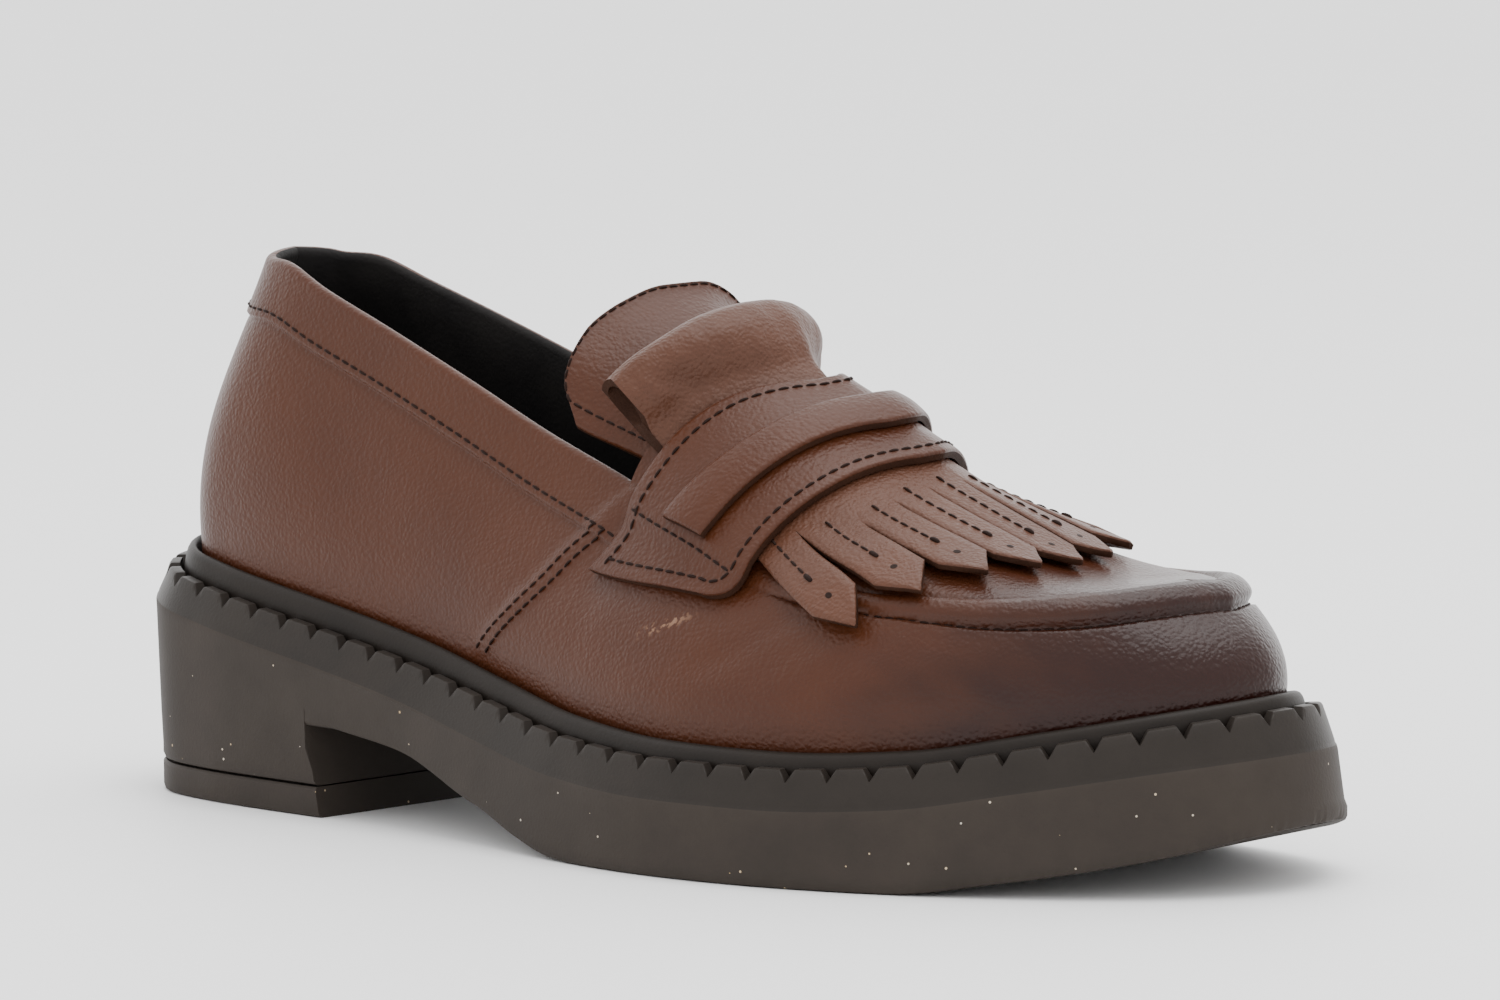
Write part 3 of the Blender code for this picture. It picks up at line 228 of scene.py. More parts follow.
# Ridge of the instep, from the throat to the toe: crown is a share of the instep crown above the seam
# line, and lean is how far the apron turns inwards where it starts from the seam, in degrees.
RIDGE = dict(
    around=(0.475, 0.5, 0.54, 0.58, 0.64, 0.7, 0.76, 0.82, 0.88, 0.94, 1.0),
    along=(0.57, 0.594, 0.631, 0.672, 0.727, 0.775, 0.816, 0.848, 0.871, 0.887, 0.895),
    swing=(0.053, 0.053, 0.053, 0.053, 0.058, 0.068, 0.079, 0.089, 0.098, 0.103, 0.105),
    crown=(0.99, 1.02, 1.035, 0.94, 0.7, 0.42, 0.2, 0.11, 0.06, 0.03, 0.026),
    lean=(22.0, 28.0, 34.0, 40.0, 50.0, 58.0, 68.0, 75.0, 80.0, 84.0, 84.0),
)
print("rows of the wall's top:", len(WALL_TOP["around"]))

# %% Table of the tongue
# Top edge of the tongue, from the outer corner to the inner one: back and drop are shares of how far it
# stands back from the ridge at the throat and of its half width, and swing is a share of the half width.
TONGUE_TOP = dict(
    across=(-1.0, -0.8, -0.5, -0.25, 0.0, 0.25, 0.5, 0.8, 1.0),
    back=(1.01, 1.13, 1.14, 1.08, 1.01, 0.95, 0.9, 0.87, 0.83),
    swing=(-1.12, -1.04, -0.77, -0.4, -0.02, 0.35, 0.65, 0.83, 0.78),
    drop=(1.04, 0.68, 0.34, 0.12, 0.01, 0.0, 0.12, 0.42, 0.82),
)
print("rows of the tongue's top:", len(TONGUE_TOP["across"]))

# %% [markdown]
# Two curves are enough for every line. One reads a table's column at any place without overshooting its
# rows, and the other is a closed smooth curve through points seen from above.

# %% Curves
def smooth(table, column, at, key="around"):
    """Read a column at any place: a curve through the rows that never overshoots them."""
    keys = np.asarray(table[key], float)
    values = np.asarray(table[column], float)
    steps = np.diff(keys)
    secants = np.diff(values) / steps
    slopes = np.concatenate((secants[:1], np.zeros(len(keys) - 2), secants[-1:]))
    same = secants[:-1] * secants[1:] > 0
    before = 2 * steps[1:] + steps[:-1]
    after = steps[1:] + 2 * steps[:-1]
    mean = (before + after)[same] / (before[same] / secants[:-1][same] + after[same] / secants[1:][same])
    slopes[1:-1][same] = mean
    at = np.clip(at, keys[0], keys[-1])
    row = np.clip(np.searchsorted(keys, at, side="right") - 1, 0, len(keys) - 2)
    step = steps[row]
    s = (at - keys[row]) / step
    start = values[row] * (1 + 2 * s) * (1 - s) ** 2 + slopes[row] * step * s * (1 - s) ** 2
    end = values[row + 1] * s * s * (3 - 2 * s) + slopes[row + 1] * step * s * s * (s - 1)
    return start + end


def catmull_rom(points, per_span=24):
    """A closed smooth curve through the points."""
    points = np.asarray(points, float)
    curve = []
    for index in range(len(points)):
        p0, p1, p2, p3 = (points[(index + offset) % len(points)] for offset in (-1, 0, 1, 2))
        k0, k1, k2 = (np.sqrt(np.linalg.norm(b - a)) for a, b in ((p0, p1), (p1, p2), (p2, p3)))
        m1 = k1 * ((p1 - p0) / k0 - (p2 - p0) / (k0 + k1) + (p2 - p1) / k1)
        m2 = k1 * ((p2 - p1) / k1 - (p3 - p1) / (k1 + k2) + (p3 - p2) / k2)
        for s in np.arange(per_span) / per_span:
            curve.append(p1 * (1 + 2 * s) * (1 - s) ** 2 + m1 * s * (1 - s) ** 2
                         + p2 * s * s * (3 - 2 * s) + m2 * s * s * (s - 1))
    return np.array(curve)


def sole_outline():
    """The top edge of the sole seen from above: for each side its share, points and outward normals."""
    radius = HEEL_BREADTH / 2
    middle = np.array((HEEL_BACK + radius * math.cos(HEEL_TURN), 0.0))
    back = math.pi - HEEL_TURN
    arc = [middle + radius * np.array((math.cos(back + turn), math.sin(back + turn)))
           for turn in np.radians((-90, -60, -30, 0, 30, 60, 90))]
    along = HEEL_BACK + SOLE_LENGTH * np.array(OUTLINE["along"])
    outer = np.stack((along, -BALL_BREADTH * np.array(OUTLINE["outer"])), axis=1)
    inner = np.stack((along, BALL_BREADTH * np.array(OUTLINE["inner"])), axis=1)
    tip = (HEEL_BACK + SOLE_LENGTH, TOE_SWING * BALL_BREADTH)
    per_span = 24
    curve = catmull_rom(arc[3:] + list(outer) + [tip] + list(inner[::-1]) + arc[:3], per_span)
    tangent = np.roll(curve, -1, axis=0) - np.roll(curve, 1, axis=0)
    normal = np.stack((tangent[:, 1], -tangent[:, 0]), axis=1)
    normal /= np.linalg.norm(normal, axis=1)[:, None]
    tip_index = per_span * (len(arc[3:]) + len(outer))
    halves = {}
    order = {OUTER: np.arange(0, tip_index + 1),
             INNER: np.concatenate(([0], np.arange(len(curve) - 1, tip_index - 1, -1)))}
    for side, chosen in order.items():
        points = curve[chosen]
        lengths = np.concatenate(([0.0], np.cumsum(np.linalg.norm(np.diff(points, axis=0), axis=1))))
        halves[side] = (lengths / lengths[-1], points, normal[chosen], lengths[-1])
    return halves


EDGE = sole_outline()
print("edge of the sole:", [round(EDGE[side][3], 1) for side in (OUTER, INNER)], "mm on each side")

# %% [markdown]
# The next functions give points: on the edge of the sole, on its top and its tread, on the line where
# the upper meets the sole, and on the top edge of the wall.

# %% Points of the sole and of the upper's lines
def edge(side, around, inset=0.0):
    """A point of the sole's edge from above, moved in by an inset, with its outward direction."""
    shares, points, normals, _ = EDGE[side]
    around = np.asarray(around, float)
    point = np.stack([np.interp(around, shares, points[:, axis]) for axis in (0, 1)], axis=-1)
    out = np.stack([np.interp(around, shares, normals[:, axis]) for axis in (0, 1)], axis=-1)
    out = out / np.linalg.norm(out, axis=-1, keepdims=True)
    return point - out * np.asarray(inset)[..., None], out


def sole_top(x):
    """Height of the sole's top at a place along the shoe."""
    along = (x - HEEL_BACK) / SOLE_LENGTH
    return (FOREFOOT_THICKNESS + HEEL_RISE * smooth(TOP_LINE, "heel", along, "along")
            + TOE_RISE * smooth(TOP_LINE, "toe", along, "along"))


def tread(x):
    """Height of the tread before the heel."""
    along = (x - HEEL_BACK) / SOLE_LENGTH
    return (WAIST_LIFT * smooth(TREAD_LINE, "waist", along, "along")
            + TOE_SPRING * smooth(TREAD_LINE, "toe", along, "along"))


def raised(plan, height):
    """Points of the plan at a height."""
    plan = np.asarray(plan, float)
    return np.concatenate((plan, np.broadcast_to(np.asarray(height, float)[..., None],
                                                 plan.shape[:-1] + (1,))), axis=-1)


def feather(side, around, deeper=0.0):
    """The line where the upper meets the welt, or a line further in beside it."""
    inset = FEATHER_INSET * smooth(SIDE, "feather", around) + deeper
    plan, _ = edge(side, around, inset)
    return raised(plan, sole_top(plan[..., 0]) + WELT_HEIGHT * smooth(SIDE, "welt", around))


def wall_top(side, around):
    """The top edge of the wall: collar, then apron seam."""
    breadth = smooth(WALL_TOP, "outer" if side == OUTER else "inner", around)
    x = HEEL_BACK + SOLE_LENGTH * smooth(WALL_TOP, "along", around)
    y = side * BALL_BREADTH * breadth
    z = feather(side, around)[..., 2] + COLLAR_RISE * smooth(WALL_TOP, "rise", around)
    return np.stack((x, y, z), axis=-1)


def ridge(around):
    """The top line of the instep and the apron."""
    x = HEEL_BACK + SOLE_LENGTH * smooth(RIDGE, "along", around)
    y = BALL_BREADTH * smooth(RIDGE, "swing", around)
    seam = (wall_top(OUTER, around)[..., 2] + wall_top(INNER, around)[..., 2]) / 2
    return np.stack((x, y, seam + INSTEP_CROWN * smooth(RIDGE, "crown", around)), axis=-1)


print("toe of the ridge:", ridge(np.array(1.0)).round(1))

# %% [markdown]
# The wall and the apron are sheets of cubic curves. Each curve leaves one line and arrives at another
# one at an angle that the tables give.

# %% Surfaces of the upper
# How far a sheet's curves run straight on, at their start and their end, as shares of their span
WALL_HANDLES = (0.4, 0.35)
APRON_HANDLES = (0.38, 0.42)


def bezier(p0, p1, p2, p3, t):
    """Points of cubic curves, which leave p0 towards p1 and arrive at p3 from p2."""
    t = np.asarray(t)[..., None]
    return p0 * (1 - t) ** 3 + 3 * p1 * t * (1 - t) ** 2 + 3 * p2 * t * t * (1 - t) + p3 * t ** 3


def tilted(out, degrees):
    """A direction that climbs and leans towards out by an angle."""
    angle = np.radians(degrees)
    return raised(out * np.sin(angle)[..., None], np.cos(angle))


def wall(side, around, up):
    """The wall of the upper: up is 0 at the welt and 1 at its top edge."""
    around, up = np.broadcast_arrays(np.asarray(around, float), np.asarray(up, float))
    _, out = edge(side, around)
    foot = feather(side, around)
    top = wall_top(side, around)
    reach = np.linalg.norm(top - foot, axis=-1, keepdims=True)
    rising = tilted(out, smooth(WALL_TOP, "swell", around))
    arriving = tilted(-out, smooth(WALL_TOP, "lean", around))
    leaving = WALL_HANDLES[0] * reach * rising
    return bezier(foot, foot + leaving, top - WALL_HANDLES[1] * reach * arriving, top, up)


def apron(side, around, across):
    """The apron and instep: across is 0 at the seam and 1 on the ridge."""
    around, across = np.broadcast_arrays(np.asarray(around, float), np.asarray(across, float))
    start = wall_top(side, around)
    top = ridge(around)
    inward = (top - start)[..., :2]
    inward = inward / np.maximum(np.linalg.norm(inward, axis=-1, keepdims=True), 1e-6)
    reach = np.linalg.norm(top - start, axis=-1, keepdims=True)
    climbing = tilted(inward, smooth(RIDGE, "lean", around))
    level = raised(inward, np.zeros(around.shape))
    leaving = APRON_HANDLES[0] * reach * climbing
    return bezier(start, start + leaving, top - APRON_HANDLES[1] * reach * level, top, across)


print("middle of the outer wall:", wall(OUTER, 0.3, 0.5).round(1))

# %% [markdown]
# The notches of the rim could be spaced evenly all the way round, but on the real unit one of them lies
# on the heel's front line. So each side is divided in two parts, behind that line and ahead of it.

# %% Places of the teeth
def teeth_round():
    """Places of the notches: shares of the way round on each side, the same count on both sides.

    One notch lies on the heel's front line on each side. Returns the two lists and the breast's number.
    """
    places = {}
    counts = None
    for side in (OUTER, INNER):
        shares, points, _, length = EDGE[side]
        forward = np.array((math.cos(HEEL_TURN), -math.sin(HEEL_TURN)))
        from_back = (points - points[0]) @ forward
        breast = float(np.interp(BREAST_FROM_BACK - BREAST_RAKE, from_back[:len(shares) // 2],
                                 shares[:len(shares) // 2]))
        if counts is None:
            counts = (round(breast * length / TOOTH_PITCH), round((1 - breast) * length / TOOTH_PITCH))
        behind = np.linspace(0, breast, counts[0] + 1)
        ahead = np.linspace(breast, 1, counts[1] + 1)[1:]
        places[side] = np.concatenate((behind, ahead))
    return places, counts[0]


NOTCHES, BREAST_NOTCH = teeth_round()
print("teeth behind the heel's front face:", BREAST_NOTCH)

# %% [markdown]
# Leather has thickness, so points are often moved along the surface's normal by a lift. Over the instep,
# where straps lie across the ridge, a grid measures distances round the instep instead.

# %% Lifted points and places over the instep
def lifted(surface, side, around, up, lift):
    """Points of a surface, moved out along its own normal by a lift."""
    step = 0.002
    around, up, lift = np.broadcast_arrays(np.asarray(around, float), up, lift)
    ahead = surface(side, np.minimum(around + step, 1), up) - surface(side, np.maximum(around - step, 0), up)
    climb = surface(side, around, np.minimum(up + step, 1)) - surface(side, around, np.maximum(up - step, 0))
    normal = -side * np.cross(ahead, climb)
    normal = normal / np.linalg.norm(normal, axis=-1, keepdims=True)
    return surface(side, around, up) + normal * lift[..., None]


def hood_table(stations=64, steps_out=74, apron_steps=33, wall_steps=41):
    """The instep and forepart measured by distance from the ridge, as one grid of points and normals.

    Rows run from the throat to the toe and columns from the outer welt over the ridge to the inner one.
    Also returns how far the grid reaches to each side.
    """
    around = np.linspace(THROAT, 1, stations)[:, None]
    furthest = 0.5 * BALL_BREADTH + COLLAR_RISE
    reach = np.linspace(0, furthest, steps_out + 1)
    halves = {}
    for side in (OUTER, INNER):
        over = apron(side, around, np.linspace(1, 0, apron_steps))
        down = wall(side, around, np.linspace(1, 0, wall_steps)[1:])
        section = np.concatenate((over, down), axis=1)
        steps = np.linalg.norm(np.diff(section, axis=1), axis=-1)
        lengths = np.concatenate((np.zeros((stations, 1)), np.cumsum(steps, axis=1)), axis=1)
        halves[side] = np.array([[np.interp(reach, lengths[i], section[i, :, axis]) for axis in range(3)]
                                 for i in range(stations)]).transpose(0, 2, 1)
    grid = np.concatenate((halves[OUTER][:, :0:-1], halves[INNER]), axis=1)
    ahead, across = np.gradient(grid, axis=(0, 1))
    normal = np.cross(ahead, across)
    normal /= np.maximum(np.linalg.norm(normal, axis=-1, keepdims=True), 1e-9)
    return grid, normal, furthest


HOOD, HOOD_NORMAL, HOOD_REACH = hood_table()


def hood(around, distance, lift=0.0):
    """A point over the instep: its place round the shoe, its distance from the ridge and its lift."""
    around, distance, lift = np.broadcast_arrays(np.asarray(around, float), distance, lift)
    rows, columns = HOOD.shape[:2]
    row = np.clip((around - THROAT) / (1 - THROAT), 0, 1) * (rows - 1)
    column = np.clip(0.5 + 0.5 * distance / HOOD_REACH, 0, 1) * (columns - 1)
    i = np.minimum(row.astype(int), rows - 2)
    j = np.minimum(column.astype(int), columns - 2)
    u = (row - i)[..., None]
    v = (column - j)[..., None]

    def mix(table):
        return ((table[i, j] * (1 - v) + table[i, j + 1] * v) * (1 - u)
                + (table[i + 1, j] * (1 - v) + table[i + 1, j + 1] * v) * u)
    return mix(HOOD) + mix(HOOD_NORMAL) * lift[..., None]


RIDGE_PLACES = np.linspace(THROAT, 1, 200)
RIDGE_STEPS = np.linalg.norm(np.diff(ridge(RIDGE_PLACES), axis=0), axis=1)
RIDGE_LENGTHS = np.concatenate(([0.0], np.cumsum(RIDGE_STEPS)))


def over_instep(ahead, across, lift=0.0):
    """A point over the instep by its lengths: ahead of the throat, across from the centre line, lift."""
    return hood(np.interp(ahead, RIDGE_LENGTHS, RIDGE_PLACES), CENTRE_LINE + across, lift)


print("instep is", round(float(RIDGE_LENGTHS[-1]), 1), "mm long from the throat to the toe")

# %% [markdown]
# The tongue, the saddle, the kiltie and its roll each have a small table of shares and a function that
# gives their lines.

# %% Lines of the tongue, the straps and the kiltie
def fade(value, start, end):
    """A soft step from 0 at the start to 1 at the end."""
    share = np.clip((value - start) / (end - start), 0, 1)
    return share * share * (3 - 2 * share)


# How far the saddle's lines run back towards its corners: across is a share of the saddle's reach, and
# the others are shares of its width.
SADDLE_LINES = dict(
    across=(0.0, 0.3, 0.65, 0.85, 1.0),
    back=(0.0, 0.088, 0.12, 0.17, 0.25),
    band=(0.0, 0.03, 0.15, 0.2, 0.2),
    band_front=(0.0, 0.07, 0.16, 0.2, 0.2),
    front=(0.0, 0.05, 0.12, 0.12, 0.16),
)


def saddle_line(name, across):
    """Where a line of the saddle lies, ahead of the throat."""
    start = dict(back=SADDLE_BACK, band=SADDLE_BACK + SADDLE_BAND_BACK,
                 band_front=SADDLE_BACK + SADDLE_BAND_BACK + SADDLE_BAND_WIDTH,
                 front=SADDLE_BACK + SADDLE_WIDTH)
    run_back = smooth(SADDLE_LINES, name, np.abs(across) / SADDLE_REACH, "across")
    return start[name] - SADDLE_WIDTH * run_back


WING_SLOPE = (1.0, 9.0)     # the saddle comes down between these distances beyond the kiltie


def saddle_lift(across):
    """Underside of the saddle above the upper: over the kiltie, and lower at the wings."""
    on_kiltie = KILTIE_THICKNESS + LAYER_GAP
    beyond = np.abs(across) - KILTIE_HALF_WIDTH
    return LAYER_GAP + on_kiltie * (1 - fade(beyond, *WING_SLOPE))


# Where the slits start and how high the tips stand, from the middle of the fringe to its ends
FRINGE = dict(
    across=(0.0, 0.33, 0.56, 0.78, 0.9, 1.0),
    start=(0.95, 0.98, 1.0, 0.8, 0.76, 0.75),
    lift=(0.45, 0.6, 0.8, 1.0, 1.0, 1.0),
)


def slit_start(slit):
    """Where a slit starts, ahead of the throat: slits are numbered from the middle by halves."""
    return SLIT_START * smooth(FRINGE, "start", 2 * np.abs(slit) / TABS, "across")


def tab_lift(number):
    """How high a tab's tip stands above the upper."""
    return TAB_LIFT * smooth(FRINGE, "lift", 2 * np.abs(number) / TABS, "across")


# The fold of the roll, from the outer end to the inner one: back, swing and drop from the ridge at the
# throat, back and swing as shares of the roll's length and half width, drop as a share of its half width.
ROLL_FOLD = dict(
    across=(-1.0, -0.75, -0.5, -0.25, 0.0, 0.25, 0.5, 0.75, 1.0),
    back=(1.34, 1.14, 0.95, 0.83, 0.75, 0.76, 0.84, 1.0, 1.2),
    swing=(-1.0, -0.89, -0.68, -0.42, -0.1, 0.2, 0.47, 0.66, 0.74),
    drop=(0.05, -0.11, -0.25, -0.35, -0.39, -0.37, -0.29, -0.13, 0.06),
)
# Section of the roll: along runs from the saddle to the fold, and heights are in its thickness
ROLL_THICKNESS = 7.5
ROLL_OUTSIDE = ((0.25, 0.25), (0.46, 0.55), (0.68, 0.73), (0.86, 0.66), (0.97, 0.4), (1.0, 0.1),
                (0.96, -0.17), (0.84, -0.3), (0.6, -0.28), (0.3, -0.12))
ROLL_INSIDE = ((0.42, 0.27), (0.52, 0.39), (0.69, 0.52), (0.82, 0.46), (0.9, 0.3), (0.915, 0.1),
               (0.89, -0.04), (0.81, -0.11), (0.6, -0.1), (0.44, 0.04))


def roll_frame(across):
    """Root and fold of the roll at a place across it."""
    distance = ROLL_HALF_WIDTH * across
    root = over_instep(saddle_line("back", distance) - ROLL_FROM_SADDLE, distance, GAP)
    throat = ridge(np.array(THROAT))
    back = ROLL_LENGTH * smooth(ROLL_FOLD, "back", across, "across")
    swing = ROLL_HALF_WIDTH * smooth(ROLL_FOLD, "swing", across, "across")
    drop = ROLL_HALF_WIDTH * smooth(ROLL_FOLD, "drop", across, "across")
    fold = throat + np.stack((-back, swing, -drop), axis=-1)
    return root, fold


def tongue_face(rise, across):
    """The tongue's outer face: rise is 0 under the saddle and 1 at its top edge, across is -1 to 1."""
    rise, across = np.broadcast_arrays(np.asarray(rise, float), np.asarray(across, float))
    below = -WALL - TONGUE_CLEAR
    width = CENTRE_LINE + TONGUE_ROOT_WIDTH * across
    root = hood(np.full(across.shape, TONGUE_ROOT), width, below)
    throat = hood(np.full(across.shape, THROAT), width, below)
    ridge_point = ridge(np.array(THROAT))
    x = ridge_point[0] - TONGUE_BACK * smooth(TONGUE_TOP, "back", across, "across")
    y = ridge_point[1] + TONGUE_HALF_WIDTH * smooth(TONGUE_TOP, "swing", across, "across")
    z = ridge_point[2] + TONGUE_RISE - TONGUE_HALF_WIDTH * smooth(TONGUE_TOP, "drop", across, "across")
    top = np.stack((x, y, z), axis=-1)
    inside = np.clip(rise / TONGUE_INSIDE, 0, 1)[..., None]
    along = (throat - root) / np.linalg.norm(throat - root, axis=-1, keepdims=True)
    reach = np.linalg.norm(top - throat, axis=-1, keepdims=True)
    beyond = np.clip((rise - TONGUE_INSIDE) / (1 - TONGUE_INSIDE), 0, 1)
    arriving = 0.3 * reach * (along + (1.0, 0.0, 0.0)) / 2
    outside = bezier(throat, throat + 0.35 * reach * along, top - arriving, top, beyond)
    return np.where(inside < 1, root + (throat - root) * inside, outside)


def tongue_outward(across):
    """The way the tongue's face looks: up, forward and a little to its own side."""
    outward = np.stack((0.45 + 0 * across, 0.9 * across, 0.8 + 0 * across), axis=-1)
    return outward / np.linalg.norm(outward, axis=-1, keepdims=True)


def tongue_swell(rise, across):
    """Height of the padding that fills the middle of the tongue."""
    return 0.5 * np.exp(-((rise - 0.62) / 0.2) ** 2) * np.cos(2.2 * across)


print("fold of the roll at its middle:", roll_frame(np.array([0.0]))[1].round(1))

# %% [markdown]
# ## Finishes
# The leather is a brown calf with a fine pebble grain, burnished dark at the toe, and the kiltie is cut
# from a paler part of the hide. A photograph of leather could be laid over the mesh, but it would show its
# joins. So each finish is worked out from noise instead, at any size. Grain and colour clouds are used by
# several finishes, so each is a shader node group, built once. Lengths inside a finish are in metres,
# because the pieces lie in the shoe's frame without scaling.

# %% A small helper that wires shader nodes
class Wiring:
    """Adds nodes to a tree and links them by short calls."""

    def __init__(self, tree):
        self.tree = tree

    def node(self, kind, **settings):
        made = self.tree.nodes.new(kind)
        for name, value in settings.items():
            if hasattr(made, name):
                setattr(made, name, value)
            else:
                made.inputs[name.replace("_", " ")].default_value = value
        return made

    def link(self, source, target):
        self.tree.links.new(source, target)

    def maths(self, operation, first, second=None):
        made = self.node("ShaderNodeMath", operation=operation)
        for socket, value in zip(made.inputs, (first, second)):
            if value is None:
                continue
            if isinstance(value, (int, float)):
                socket.default_value = value
            else:
                self.link(value, socket)
        return made.outputs[0]

    def blend(self, factor, first, second):
        made = self.node("ShaderNodeMix", data_type="RGBA")
        for socket, value in zip((made.inputs[0], made.inputs[6], made.inputs[7]), (factor, first, second)):
            if isinstance(value, (int, float)):
                socket.default_value = value
            elif isinstance(value, tuple):
                socket.default_value = (*value, 1.0)
            else:
                self.link(value, socket)
        return made.outputs[2]


def new_group(name, inputs, outputs):
    """A shader node group with named sockets. Returns its wiring and its two end nodes."""
    group = bpy.data.node_groups.new(name, "ShaderNodeTree")
    for label, kind, value in inputs:
        socket = group.interface.new_socket(name=label, in_out="INPUT", socket_type=kind)
        socket.default_value = value
    for label, kind in outputs:
        group.interface.new_socket(name=label, in_out="OUTPUT", socket_type=kind)
    wiring = Wiring(group)
    return group, wiring, wiring.node("NodeGroupInput"), wiring.node("NodeGroupOutput")


FLOAT, COLOUR = "NodeSocketFloat", "NodeSocketColor"
print("kinds of sockets for a group:", FLOAT, COLOUR)

# %% [markdown]
# The grain of calf leather is a net of tiny cells with fine creases between them. Cells from a Voronoi
# texture, softened by noise, give that net as a height. The group's scale counts cells to a metre.

# %% Leather grain group
grain_group, wiring, start, end = new_group(
    "leather_grain", [("Cells", FLOAT, 900.0), ("Pores", FLOAT, 0.3)], [("Height", FLOAT)])
where = wiring.node("ShaderNodeTexCoord").outputs["Object"]
warp = wiring.node("ShaderNodeTexNoise", Scale=240.0, Detail=2.0)
wiring.link(where, warp.inputs["Vector"])
moved = wiring.node("ShaderNodeVectorMath", operation="MULTIPLY_ADD")
moved.inputs[1].default_value = (0.0016, 0.0016, 0.0016)
wiring.link(warp.outputs["Color"], moved.inputs[0])
wiring.link(where, moved.inputs[2])
cells = wiring.node("ShaderNodeTexVoronoi", feature="SMOOTH_F1", Smoothness=0.5)
wiring.link(moved.outputs[0], cells.inputs["Vector"])
wiring.link(start.outputs["Cells"], cells.inputs["Scale"])
pores = wiring.node("ShaderNodeTexNoise", Scale=2600.0, Detail=2.0)
wiring.link(where, pores.inputs["Vector"])
domes = wiring.maths("SUBTRACT", 1.0, cells.outputs["Distance"])
pits = wiring.maths("MULTIPLY", pores.outputs["Fac"], start.outputs["Pores"])
wiring.link(wiring.maths("ADD", domes, pits), end.inputs["Height"])
print("group:", grain_group.name)

# %% [markdown]
# No hide is one flat colour. Large soft clouds, and smaller ones over them, turn one colour slightly
# towards a second one. The two colours are inputs, so that the same group serves leather, rubber, thread
# and the floor.

# %% Colour cloud group
cloud_group, wiring, start, end = new_group(
    "colour_clouds",
    [("Colour", COLOUR, (0.5, 0.5, 0.5, 1)), ("Second", COLOUR, (0.4, 0.4, 0.4, 1)),
     ("Scale", FLOAT, 30.0), ("Amount", FLOAT, 0.5)],
    [("Colour", COLOUR)])
where = wiring.node("ShaderNodeTexCoord").outputs["Object"]
clouds = wiring.node("ShaderNodeTexNoise", Detail=5.0, Roughness=0.6)
wiring.link(where, clouds.inputs["Vector"])
wiring.link(start.outputs["Scale"], clouds.inputs["Scale"])
spread = wiring.node("ShaderNodeMapRange", From_Min=0.35, From_Max=0.65)
wiring.link(clouds.outputs["Fac"], spread.inputs["Value"])
share = wiring.maths("MULTIPLY", spread.outputs["Result"], start.outputs["Amount"])
wiring.link(wiring.blend(share, start.outputs["Colour"], start.outputs["Second"]), end.inputs["Colour"])
print("group:", cloud_group.name)

# %% [markdown]
# Every finish of the shoe starts in the same way: a Principled shader, with plain numbers on its own
# sockets, and a bump that comes from one of the groups.

# %% Start a finish
def new_finish(name, roughness, **sockets):
    """A material with its Principled shader. Plain numbers sit on the shader's own sockets."""
    made = bpy.data.materials.new(name)
    made.use_nodes = True
    wiring = Wiring(made.node_tree)
    shader = made.node_tree.nodes["Principled BSDF"]
    shader.inputs["Roughness"].default_value = roughness
    for label, value in sockets.items():
        shader.inputs[label.replace("_", " ")].default_value = value
    return made, wiring, shader


def place_group(wiring, group, **values):
    made = wiring.node("ShaderNodeGroup", node_tree=group)
    for label, value in values.items():
        made.inputs[label].default_value = (*value, 1.0) if isinstance(value, tuple) else value
    return made


def bump(wiring, shader, height, strength, distance):
    made = wiring.node("ShaderNodeBump", Strength=strength, Distance=distance)
    wiring.link(height, made.inputs["Height"])
    wiring.link(made.outputs["Normal"], shader.inputs["Normal"])


print("groups to choose from:", [group.name for group in bpy.data.node_groups])

# %% [markdown]
# The hide is a warm mid-brown. A maker burnishes the toe with dark wax, so the colour turns deep red-brown
# there, and the wax also shines more. The burnish could be painted by hand on the mesh. It is placed by the
# shoe's own length instead, read from the object's coordinates, with a soft and slightly uneven border.

# %% Leather finishes
HIDE_BROWN = (0.057, 0.0152, 0.0044)
HIDE_SHADE = (0.043, 0.0108, 0.0034)
PALE_BROWN = (0.080, 0.029, 0.0145)
PALE_SHADE = (0.058, 0.0205, 0.0102)
BURNISH = (0.0105, 0.0014, 0.0009)
BURNISH_START, BURNISH_END = 0.120, 0.194
SCUFF_FROM = wall(OUTER, 0.531, 0.44) * METRES
SCUFF_TO = wall(OUTER, 0.562, 0.655) * METRES
SCUFF_HALF_WIDTH = 0.0011
SCUFF_COLOUR = (0.25, 0.14, 0.085)


